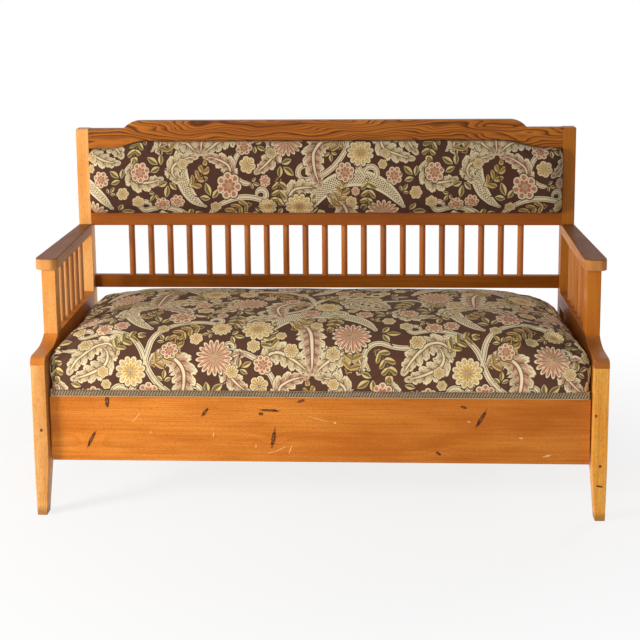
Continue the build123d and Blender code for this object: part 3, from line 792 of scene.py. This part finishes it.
def waves(value, length, turn=0.0):
    return np.sin(value * (2 * math.pi / length) + turn)


def lumps(points, scale, seed):  # slow unevenness of old stuffing, from -1 to 1
    shift = Vector((seed * 7.3, seed * 3.1, seed * 5.7))
    return np.array([noise.noise(Vector(p) * scale + shift) for p in points])


def roundCorner(x, y, halfX, halfY, radius):  # pushes a rectangle's corners onto a quarter circle
    dx = np.maximum(np.abs(x) - (halfX - radius), 0)
    dy = np.maximum(np.abs(y) - (halfY - radius), 0)
    reach = np.hypot(dx, dy)
    scale = np.where(reach > 0, np.maximum(dx, dy) / np.maximum(reach, 1e-9), 1.0)
    x = np.sign(x) * (np.minimum(np.abs(x), halfX - radius) + dx * scale)
    y = np.sign(y) * (np.minimum(np.abs(y), halfY - radius) + dy * scale)
    return x, y


def arcSpaced(half, shoulder, rise, pitch):  # places across a pad, evenly spaced along its crowned section
    inward, up = softSection(np.linspace(0, 1, 120))
    inward, up = inward * shoulder, up * rise
    length = np.concatenate([[0], np.cumsum(np.hypot(np.diff(inward), np.diff(up)))])
    side = length[-1]
    whole = 2 * side + 2 * (half - shoulder)
    along = np.linspace(0, whole, int(round(whole / pitch)) + 1)
    fromEdge = np.minimum(along, whole - along)
    gap = np.where(fromEdge < side, np.interp(fromEdge, length, inward), shoulder + fromEdge - side)
    return np.where(along < whole / 2, gap - half, half - gap), along - whole / 2


def rimOf(grid):
    return np.concatenate([grid[0, :-1], grid[:-1, -1], grid[-1, :0:-1], grid[:0:-1, 0]])


def cornersOf(grid):
    return np.stack([grid[:-1, :-1], grid[:-1, 1:], grid[1:, 1:], grid[1:, :-1]], 2)


def padMesh(name, face, skirt, uv, pitch):
    # face: rows by columns of points; skirt: rings of points round the rim, each one ring lower
    rows, columns = face.shape[:2]
    at = np.arange(rows * columns).reshape(rows, columns)
    quads, corners = [cornersOf(at).reshape(-1, 4)], [cornersOf(uv).reshape(-1, 2)]
    outward = np.repeat([(0, -1), (1, 0), (0, 1), (-1, 0)], [columns - 1, rows - 1] * 2, 0) * pitch
    here, upper = rimOf(uv), rimOf(at)
    after = np.roll(here, -1, 0)
    for depth, ring in enumerate(skirt):
        lower = np.arange(len(ring)) + rows * columns + depth * len(ring)
        quads.append(np.stack([np.roll(upper, -1), upper, lower, np.roll(lower, -1)], 1))
        first, second = outward * depth, outward * (depth + 1)
        corners.append(np.stack([after + first, here + first, here + second, after + second], 1).reshape(-1, 2))
        upper = lower
    mesh = bpy.data.meshes.new(name)
    mesh.from_pydata(np.vstack([face.reshape(-1, 3), *skirt]).tolist(), [], np.vstack(quads).tolist())
    mesh.uv_layers.new(name="cloth").uv.foreach_set("vector", np.vstack(corners).astype(np.float32).ravel())
    return mesh, upper


def closeBase(mesh):  # one flat face over the open edge, where the pad lies on its board
    form = bmesh.new()
    form.from_mesh(mesh)
    bmesh.ops.holes_fill(form, edges=[e for e in form.edges if e.is_boundary])
    form.to_mesh(mesh)
    form.free()


def readVectors(mesh, what):
    flat = np.zeros(len(mesh.vertices) * 3, np.float32)
    mesh.vertices.foreach_get(what, flat)
    return flat.reshape(-1, 3).astype(float)


def writePoints(mesh, points):
    mesh.vertices.foreach_set("co", points.astype(np.float32).ravel())
    mesh.update()


clothFeel = {
    "quality": 5,
    "mass": 0.35,
    "tension_stiffness": 30,
    "compression_stiffness": 30,
    "shear_stiffness": 8,
    "bending_stiffness": 1.2,
    "vertex_group_mass": "tacked",
    "use_pressure": True,
}
clothSteps = 20


def inflate(piece, pinned, pressure, cap, spare):  # lets the stuffing push the cloth out, no further than the cap
    rest = readVectors(piece.data, "co")
    group = piece.vertex_groups.new(name=clothFeel["vertex_group_mass"])
    group.add(pinned.tolist(), 1.0, "REPLACE")
    cloth = piece.modifiers.new("cloth", "CLOTH")
    for key, value in clothFeel.items():
        setattr(cloth.settings, key, value)
    cloth.settings.uniform_pressure_force = pressure
    cloth.settings.shrink_min = -spare
    cloth.settings.effector_weights.gravity = 0.0
    cloth.collision_settings.use_collision = False
    scene = bpy.context.scene
    for step in range(1, clothSteps + 1):
        scene.frame_set(step)
    moved = readVectors(piece.evaluated_get(bpy.context.evaluated_depsgraph_get()).data, "co")
    piece.modifiers.remove(cloth)
    piece.vertex_groups.remove(group)
    scene.frame_set(1)
    shift = moved - rest
    size = np.linalg.norm(shift, axis=1)
    print(piece.name, "swelled up to", round(float(size.max()) * 1000, 1), "mm")
    shift *= np.minimum(1, cap / np.maximum(size, 1e-9))[:, None]
    writePoints(piece.data, rest + shift)


def subdivided(piece):  # one level, kept as a plain mesh
    smooth = piece.modifiers.new("smooth", "SUBSURF")
    smooth.levels = smooth.render_levels = 1
    dg = bpy.context.evaluated_depsgraph_get()
    mesh = bpy.data.meshes.new_from_object(piece.evaluated_get(dg))
    piece.modifiers.remove(smooth)
    piece.data = mesh
    return mesh


def finishPad(piece, foldAt, repeatAt):  # finer cloth with its folds and its drawing, closed underneath
    mesh = subdivided(piece)
    points, normals = readVectors(mesh, "co"), readVectors(mesh, "normal")
    writePoints(mesh, points + normals * foldAt(points)[:, None])
    mesh.polygons.foreach_set("use_smooth", [True] * len(mesh.polygons))
    weavePattern(mesh, repeatAt)
    closeBase(mesh)


def addPiece(name, mesh, material, body):
    piece = bpy.data.objects.new(name, mesh)
    bpy.context.scene.collection.objects.link(piece)
    if material:
        mesh.materials.append(material)
    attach(piece, body)
    return piece


seatPad = {
    "halfLength": 0.7710,
    "front": -0.3225,
    "back": 0.3050,
    "base": 0.3745,
    "edge": 0.458,
    "crown": 0.5415,
    "endShoulder": 0.29,
    "frontShoulder": 0.20,
    "leftSlump": 0.010,          # how far an end has sunk towards the back
    "rightSlump": 0.018,
    "corner": 0.030,
    "sideRings": 10,
    "sideBulge": 0.0035,
    "pitch": 0.008,
    "pressure": 1.2,
    "spare": 0.012,              # share by which the cloth is cut too large
    "cap": 0.007,
    "sideCap": 0.003,
    "ripple": (0.0021, 0.0165),  # depth and length of the small folds along the ends
    "unevenness": 0.0022,
    "pleat": (0.0036, 13.0),     # depth, and waves for each radian round a front corner
    "tacking": (0.0007, 0.058),  # depth and spacing of the pulls along the gimp
    "repeatAt": (735.0, 250.0),  # where on the drawing the middle of the seat lies
}


def makeSeatPad():
    s = seatPad
    half, base = s["halfLength"], s["base"]
    halfDepth = (s["back"] - s["front"]) / 2
    middle = (s["back"] + s["front"]) / 2
    rise = s["crown"] - s["edge"]
    xs, us = arcSpaced(half, s["endShoulder"], rise, s["pitch"])
    ys, vs = arcSpaced(halfDepth, s["frontShoulder"], rise, s["pitch"])
    x, y = np.meshgrid(xs, ys)
    alongRise = softRise((half - np.abs(x)) / s["endShoulder"])
    acrossRise = softRise((halfDepth - np.abs(y)) / s["frontShoulder"])
    leftGap, rightGap = half + x, half - x
    slump = s["leftSlump"] * bell(leftGap, 0.0, 0.04) + s["rightSlump"] * bell(rightGap, 0.0, 0.07)
    slump += s["rightSlump"] * 0.45 * bell(rightGap, 0.10, 0.14)
    z = s["edge"] + rise * blendRise(alongRise, acrossRise) - slump * ramp(y, -0.25, 0.45)
    x, y = roundCorner(x, y, half, halfDepth, s["corner"])
    face = np.stack([x, y + middle, z], 2)
    rim = rimOf(face)
    outward = rim[:, :2] - np.stack([
        np.clip(rim[:, 0], -half + 0.04, half - 0.04), np.clip(rim[:, 1], s["front"] + 0.04, s["back"] - 0.04),
    ], 1)
    outward /= np.linalg.norm(outward, axis=1)[:, None]
    rings = []
    for n in range(1, s["sideRings"] + 1):
        share = n / s["sideRings"]
        ring = rim.copy()
        ring[:, 2] = rim[:, 2] + (base - rim[:, 2]) * share
        ring[:, :2] += outward * s["sideBulge"] * math.sin(math.pi * min(1, share * 1.15)) * (1 - share)
        rings.append(ring)
    mesh, pinned = padMesh("seatPad", face, rings, np.stack(np.meshgrid(us, vs), 2), s["pitch"])
    piece = addPiece("seatPad", mesh, seatCover, "seat_lid")
    onTop = ramp(readVectors(mesh, "co")[:, 2], s["edge"], 0.03)
    inflate(piece, pinned, s["pressure"], s["sideCap"] + (s["cap"] - s["sideCap"]) * onTop, s["spare"])

    def foldAt(points):
        endGap = half - np.abs(points[:, 0])
        frontGap, backGap = points[:, 1] - s["front"], s["back"] - points[:, 1]
        height = points[:, 2]
        depth, length = s["ripple"]
        ripple = waves(points[:, 0], length, 2.6 * lumps(points, 7.0, 1))
        fold = depth * ripple * bell(endGap, 0.045, 0.045) * bell(backGap, 0.30, 0.19)
        fold += s["unevenness"] * lumps(points * (1, 1.5, 1), 7.0, 2) * ramp(np.minimum(endGap, frontGap), 0, 0.08)
        depth, count = s["pleat"]
        pleats = np.sin(np.arctan2(endGap + 0.004, frontGap + 0.004) * count + 0.6)
        pleats = pleats * bell(np.hypot(endGap, frontGap), 0.02, 0.045) * ramp(height, 0.39, 0.05)
        fold += depth * pleats
        depth, spacing = s["tacking"]
        pulls = waves(points[:, 0], spacing) * bell(height, base, 0.03)
        fold += depth * pulls * ramp(height, base, 0.006)
        return fold * ramp(height, base, 0.01)

    finishPad(piece, foldAt, s["repeatAt"])
    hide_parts("seat_cushion")


makeSeatPad()
print("seat stuffed")

backPad = {
    "halfLength": 0.7765,
    "low": 0.7700,
    "high": 0.9840,
    "arch": 0.025,
    "archFlat": 0.573,
    "archRamp": 0.150,
    "rim": 0.2765,
    "proud": 0.2600,
    "panel": 0.3255,
    "shoulder": 0.060,
    "shoulderRise": 0.02,        # only for the spacing of the cloth
    "corner": 0.026,
    "sideRings": 6,
    "pitch": 0.008,
    "pressure": 1.2,
    "spare": 0.008,
    "cap": 0.009,
    "sideCap": 0.0008,
    "unevenness": 0.0012,
    "lowPuckers": (0.0008, 0.047),  # depth and length
    "endPuckers": (0.0009, 0.034),
    "repeatAt": (640.0, 110.0),
}


def makeBackPad():
    b = backPad
    half, halfHeight = b["halfLength"], (b["high"] - b["low"]) / 2
    xs, us = arcSpaced(half, b["shoulder"], b["shoulderRise"], b["pitch"])
    zs, vs = arcSpaced(halfHeight, b["shoulder"], b["shoulderRise"], b["pitch"])
    x, t = np.meshgrid(xs, zs)
    rise = blendRise(softRise((half - np.abs(x)) / b["shoulder"]), softRise((halfHeight - np.abs(t)) / b["shoulder"]))
    x, t = roundCorner(x, t, half, halfHeight, b["corner"])
    climb = np.clip((b["archFlat"] + b["archRamp"] - np.abs(x)) / b["archRamp"], 0, 1)
    arch = b["arch"] * climb * climb * (3 - 2 * climb)
    z = b["low"] + halfHeight + t + arch * ((t + halfHeight) / (2 * halfHeight))
    face = np.stack([x, b["rim"] - (b["rim"] - b["proud"]) * rise, z], 2)
    rings = []
    for n in range(1, b["sideRings"] + 1):
        ring = rimOf(face)
        ring[:, 1] += (b["panel"] - ring[:, 1]) * (n / b["sideRings"])
        rings.append(ring)
    mesh, pinned = padMesh("backPad", face, rings, np.stack(np.meshgrid(us, vs), 2), b["pitch"])
    piece = addPiece("backPad", mesh, backCover, "frame")
    free = np.clip((b["rim"] - readVectors(mesh, "co")[:, 1]) / 0.006, 0, 1)
    inflate(piece, pinned, b["pressure"], b["sideCap"] + (b["cap"] - b["sideCap"]) * free, b["spare"])

    def foldAt(points):
        fold = b["unevenness"] * lumps(points * (1, 1, 1.6), 11.0, 5)
        depth, length = b["lowPuckers"]
        low = depth * waves(points[:, 0], length, 2 * lumps(points, 5.0, 6))
        fold += low * bell(points[:, 2] - b["low"], 0.008, 0.02)
        depth, length = b["endPuckers"]
        fold += depth * waves(points[:, 2], length, 1.0) * bell(half - np.abs(points[:, 0]), 0.01, 0.02)
        return fold * np.clip((b["rim"] + 0.004 - points[:, 1]) / 0.01, 0, 1)

    finishPad(piece, foldAt, b["repeatAt"])
    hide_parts("back_cushion")


makeBackPad()
print("back stuffed")


def startTree(name, sizes):  # a Geometry Nodes tree with one named input for each size
    tree = bpy.data.node_groups.new(name, "GeometryNodeTree")
    tree.interface.new_socket("Geometry", in_out="INPUT", socket_type="NodeSocketGeometry")
    tree.interface.new_socket("Geometry", in_out="OUTPUT", socket_type="NodeSocketGeometry")
    for label in sizes:
        tree.interface.new_socket(label, in_out="INPUT", socket_type="NodeSocketFloat")
    return tree, tree.nodes.new("NodeGroupInput").outputs, tree.nodes.new("NodeGroupOutput")


def addNode(tree, kind, values=(), output=0, **settings):
    node = tree.nodes.new(kind)
    for key, value in settings.items():
        setattr(node, key, value)
    for key, value in dict(values).items():
        if isinstance(value, bpy.types.NodeSocket):
            tree.links.new(value, node.inputs[key])
        else:
            node.inputs[key].default_value = value
    return node.outputs[output]


def vectorOf(tree, x, y, z):
    return addNode(tree, "ShaderNodeCombineXYZ", {0: x, 1: y, 2: z})


def joinParts(tree, parts):
    joined = tree.nodes.new("GeometryNodeJoinGeometry")
    for part in parts:
        tree.links.new(part, joined.inputs[0])
    return joined.outputs[0]


def finishTree(tree, outlet, parts):  # parts: geometry and its material
    dressed = []
    for part, material in parts:
        real = addNode(tree, "GeometryNodeRealizeInstances", {0: part})
        dressed.append(addNode(tree, "GeometryNodeSetMaterial", {0: real, "Material": material}))
    tree.links.new(joinParts(tree, dressed), outlet.inputs[0])


def grow(name, mesh, tree, sizes):  # runs the tree on the mesh and keeps the result as a plain mesh
    seed = bpy.data.objects.new(name + "Seed", mesh)
    bpy.context.scene.collection.objects.link(seed)
    modifier = seed.modifiers.new("grow", "NODES")
    modifier.node_group = tree
    for item in tree.interface.items_tree:
        if item.in_out == "INPUT" and item.name in sizes:
            modifier[item.identifier] = sizes[item.name]
    dg = bpy.context.evaluated_depsgraph_get()
    grown = bpy.data.meshes.new_from_object(seed.evaluated_get(dg))
    seed.modifiers.remove(modifier)
    bpy.data.objects.remove(seed)
    grown.name = name
    return grown


gimp = {
    "sizes": {
        "Pitch": 0.0081, "Rib Length": 0.0240, "Rib Width": 0.0066, "Rib Depth": 0.0054, "Slant": 0.50,
        "Tape Height": 0.0150, "Tape Thickness": 0.0010, "Unevenness": 0.12,
    },
    "seed": 7,
    "offset": 0.0012,  # from the lid's edge to the middle of the ribs
    "lift": 0.0010,    # covers the edge of the cloth
    "turn": 0.006,     # how gently the braid goes round a front corner
}


def makeYarn(name, dark, light):
    material, tree, shader = startMaterial(name, 0.88, Sheen_Weight=0.1, Specular_IOR_Level=0.1)
    axes = objectAxes(tree, "XYZ")
    strand = noiseOver(axes, (900.0, 900.0, 260.0), 3.0, 0.6)
    soil = noiseOver(axes, (11.0, 11.0, 60.0), 2.0)
    color = layered(dark, ((strand - 0.3) * 1.8, light), ((soil - 0.45) * 1.6, dark))
    feed(shader.inputs["Base Color"], color)
    addBump(shader, strand, 0.0006, 0.8)
    return material


gimpYarn = makeYarn("gimpYarn", rgb(116, 96, 74), rgb(208, 186, 152))
# painted shade: the tape behind the ribs is dark to stand for the shade in the gaps between them
gimpShadeTape = makeYarn("gimpShadeTape", rgb(58, 46, 36), rgb(92, 76, 60))


def makeGimp():
    tree, size, outlet = startTree("gimpBraid", gimp["sizes"])
    path = addNode(tree, "GeometryNodeMeshToCurve", {0: size[0]})
    spots = addNode(tree, "GeometryNodeResampleCurve", {"Curve": path, "Length": size["Pitch"]}, mode="LENGTH")
    ball = addNode(tree, "GeometryNodeMeshUVSphere", {"Segments": 8, "Rings": 6, "Radius": 0.5})
    scale = vectorOf(tree, size["Rib Width"], size["Rib Depth"], size["Rib Length"])
    rib = addNode(tree, "GeometryNodeTransform", {"Geometry": ball, "Scale": scale})
    tilt = vectorOf(tree, 0.0, size["Slant"], 0.0)
    rib = addNode(tree, "GeometryNodeTransform", {"Geometry": rib, "Rotation": tilt})
    tangent = addNode(tree, "GeometryNodeInputTangent")
    facing = addNode(tree, "FunctionNodeAlignRotationToVector", {"Vector": tangent}, axis="X", pivot_axis="Z")
    least = addNode(tree, "ShaderNodeMath", {0: 1.0, 1: size["Unevenness"]}, operation="SUBTRACT")
    vary = addNode(tree, "FunctionNodeRandomValue", {2: least, 3: 1.0, "Seed": gimp["seed"]}, output=1)
    placing = {"Points": spots, "Instance": rib, "Rotation": facing, "Scale": vary}
    ribs = addNode(tree, "GeometryNodeInstanceOnPoints", placing)
    level = addNode(tree, "GeometryNodeSetCurveNormal", {"Curve": path}, mode="Z_UP")
    sides = {"Width": size["Tape Thickness"], "Height": size["Tape Height"]}
    section = addNode(tree, "GeometryNodeCurvePrimitiveQuadrilateral", sides)
    tape = addNode(tree, "GeometryNodeCurveToMesh", {"Curve": level, "Profile Curve": section, "Fill Caps": True})
    finishTree(tree, outlet, [(ribs, gimpYarn), (tape, gimpShadeTape)])
    lidLow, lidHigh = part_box("seat_board")
    low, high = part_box("gimp_trim")
    side, front = lidHigh[0] + gimp["offset"], lidLow[1] - gimp["offset"]
    height, turn = (low[2] + high[2]) / 2 + gimp["lift"], gimp["turn"]
    path = [(-side, lidHigh[1], height), (-side, front + turn, height), (-side + turn, front, height)]
    path += [(-x, y, z) for x, y, z in reversed(path)]
    line = bpy.data.meshes.new("gimpPath")
    line.from_pydata(path, [(k, k + 1) for k in range(len(path) - 1)], [])
    mesh = grow("gimpBraid", line, tree, gimp["sizes"])
    piece = addPiece("gimpBraid", mesh, None, "seat_lid")
    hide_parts("gimp_trim")


makeGimp()
print("gimp braided")

screws = {
    "sizes": {"Head Radius": 0.0038, "Head Height": 0.0006, "Slot Width": 0.0010},
    "seed": 11,
    "apart": 0.015,                # each side of a slat's middle
    "slatPitch": 0.15,
    "slidingEnds": (-0.284, 0.237),
    "fixedEnds": (-0.237, 0.296),
    "battens": (-0.5, 0.0, 0.5),
    "alongBatten": ((-0.012, -0.235), (0.012, -0.115), (-0.012, 0.005), (0.012, 0.125), (-0.012, 0.245)),
}


def makeScrewTree():
    tree, size, outlet = startTree("screwHeads", screws["sizes"])
    sweep = {"Resolution": 12, "Radius": size["Head Radius"], "Start Angle": 0.0, "Sweep Angle": math.pi,
             "Connect Center": True}
    disc = addNode(tree, "GeometryNodeFillCurve", {0: addNode(tree, "GeometryNodeCurveArc", sweep)}, mode="NGONS")
    half = addNode(tree, "GeometryNodeExtrudeMesh", {"Mesh": disc, "Offset Scale": size["Head Height"]})
    gap = addNode(tree, "ShaderNodeMath", {0: size["Slot Width"], 1: 0.5}, operation="MULTIPLY")
    aside = {"Geometry": half, "Translation": vectorOf(tree, 0.0, gap, 0.0)}
    shifted = addNode(tree, "GeometryNodeTransform", aside)
    other = addNode(tree, "GeometryNodeTransform", {"Geometry": shifted, "Rotation": (0.0, 0.0, math.pi)})
    plate = {"Vertices": 16, "Radius": size["Head Radius"], "Depth": 0.0002}
    base = addNode(tree, "GeometryNodeMeshCylinder", plate)
    head = joinParts(tree, (shifted, other, base))
    outward = addNode(tree, "GeometryNodeInputNamedAttribute", {"Name": "outward"}, data_type="FLOAT_VECTOR")
    facing = addNode(tree, "FunctionNodeAlignRotationToVector", {"Vector": outward}, axis="Z")
    spin = addNode(tree, "FunctionNodeRandomValue", {3: math.pi, "Seed": screws["seed"]}, output=1)
    turning = {0: facing, 1: vectorOf(tree, 0.0, 0.0, spin)}
    turned = addNode(tree, "FunctionNodeRotateRotation", turning, rotation_space="LOCAL")
    placing = {"Points": size[0], "Instance": head, "Rotation": turned}
    finishTree(tree, outlet, [(addNode(tree, "GeometryNodeInstanceOnPoints", placing), boltSteel)])
    return tree


def makeScrews():
    tree = makeScrewTree()
    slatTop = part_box("sliding_slats")[1][2]
    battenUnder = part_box("seat_battens")[0][2]
    pitch, sides = screws["slatPitch"], (-screws["apart"], screws["apart"])
    sliding = [(side * (pitch / 2 + pitch * n) + dx, y, slatTop) for side in (-1, 1) for n in range(5)
               for dx in sides for y in screws["slidingEnds"]]
    fixed = [(pitch * n + dx, y, slatTop) for n in range(-4, 5) for dx in sides for y in screws["fixedEnds"]]
    battens = [(x + dx, y, battenUnder) for x in screws["battens"] for dx, y in screws["alongBatten"]]
    for body, places, up in (("bed_box", sliding, 1), ("frame", fixed, 1), ("seat_lid", battens, -1)):
        spots = bpy.data.meshes.new("screwPlaces")
        spots.from_pydata(places, [], [])
        layer = spots.attributes.new("outward", "FLOAT_VECTOR", "POINT")
        layer.data.foreach_set("vector", [0, 0, up] * len(places))
        mesh = grow("screws_" + body, spots, tree, screws["sizes"])
        addPiece("screws_" + body, mesh, None, body)


makeScrews()
print("screws driven")

# camera, lamps and floor
view = {
    "place": (0.1512, -3.6241, 1.5577),
    "turn": (-0.151, 0.009, 0.045),  # tip, roll and yaw from looking straight back
    "focal": 1208.946,               # in pixels of the picture
    "centre": (316.198, 155.303),
    "picture": 640,
    "sensor": 36.0,
}


def aimCamera():
    tip, roll, yaw = view["turn"]
    upright = Matrix.Rotation(math.pi / 2, 4, "X")
    turn = Matrix.Rotation(yaw, 4, "Z") @ Matrix.Rotation(tip, 4, "X") @ Matrix.Rotation(roll, 4, "Y") @ upright
    lens = bpy.data.cameras.new("camera")
    lens.lens = view["focal"] / view["picture"] * view["sensor"]
    lens.sensor_width = view["sensor"]
    lens.shift_x = 0.5 - view["centre"][0] / view["picture"]
    lens.shift_y = view["centre"][1] / view["picture"] - 0.5
    camera = bpy.data.objects.new("camera", lens)
    camera.matrix_world = Matrix.Translation(view["place"]) @ turn
    bpy.context.scene.collection.objects.link(camera)
    bpy.context.scene.camera = camera
    bpy.context.scene.view_settings.view_transform = "Standard"


lamps = [  # name, place, aimed at, size, watts, colour
    ("key", (-3.3, -1.75, 1.2), (-0.1, 0.0, 0.55), 0.9, 132, (1.0, 0.95, 0.87)),
    ("front", (-0.5, -3.9, 2.4), (0.0, 0.0, 0.45), 2.4, 50, (1.0, 0.98, 0.96)),
    ("window", (2.9, 2.3, 1.1), (0.0, 0.2, 0.65), 1.0, 45, (1.0, 0.98, 0.95)),
]


def hangLamps():
    for name, place, target, size, watts, tint in lamps:
        light = bpy.data.lights.new(name, "AREA")
        light.shape = "SQUARE"
        light.size = size
        light.energy = watts
        light.color = tint
        lamp = bpy.data.objects.new(name, light)
        lamp.location = place
        lamp.rotation_euler = (Vector(target) - Vector(place)).to_track_quat("-Z", "Y").to_euler()
        bpy.context.scene.collection.objects.link(lamp)


def whiteToCamera(tree, output, plain, share):  # the plain shader, but white by this share to camera and mirror rays
    path = tree.nodes.new("ShaderNodeLightPath").outputs
    seen = highest([Field(path[ray]) for ray in ("Is Camera Ray", "Is Glossy Ray", "Is Transmission Ray")])
    white = tree.nodes.new("ShaderNodeEmission")
    white.inputs["Strength"].default_value = 1.0
    white.inputs["Color"].default_value = (1, 1, 1, 1)
    mix = tree.nodes.new("ShaderNodeMixShader")
    feed(mix.inputs[0], seen * share)
    tree.links.new(plain, mix.inputs[1])
    tree.links.new(white.outputs[0], mix.inputs[2])
    tree.links.new(mix.outputs[0], output)


room = {
    "air": (0.93, 0.96, 1.0, 1.0),
    "airStrength": 0.27,
    "paper": (0.86, 0.86, 0.86, 1),
    "paperBox": (-6, -5, 6, 6),
    "shade": 0.20,                # share of the floor's own tone that is seen beneath the bench
    "shadeReach": (1.15, 0.55),   # how far from the middle, and how softly it ends
}


def lightRoom():
    world = bpy.data.worlds.new("studio")
    world.use_nodes = True
    bpy.context.scene.world = world
    ambient = world.node_tree.nodes["Background"]
    ambient.inputs["Color"].default_value = room["air"]
    ambient.inputs["Strength"].default_value = room["airStrength"]
    output = world.node_tree.nodes["World Output"].inputs["Surface"]
    whiteToCamera(world.node_tree, output, ambient.outputs[0], 1.0)


def layFloor():
    left, front, right, back = room["paperBox"]
    mesh = bpy.data.meshes.new("floor")
    mesh.from_pydata([(left, front, 0), (right, front, 0), (right, back, 0), (left, back, 0)], [], [(0, 1, 2, 3)])
    floor = bpy.data.objects.new("floor", mesh)
    material, tree, shader = startMaterial("floorPaper", 0.9, Specular_IOR_Level=0.0)
    shader.inputs["Base Color"].default_value = room["paper"]
    x, y, _ = objectAxes(tree, "XYZ")
    away = (x * x * 0.6 + y * y).step("SQRT")
    seen = away.under(*room["shadeReach"]) * -room["shade"] + 1.0
    whiteToCamera(tree, tree.nodes["Material Output"].inputs["Surface"], shader.outputs[0], seen)
    mesh.materials.append(material)
    bpy.context.scene.collection.objects.link(floor)


aimCamera()
hangLamps()
lightRoom()
layFloor()
print("camera and lamps set")
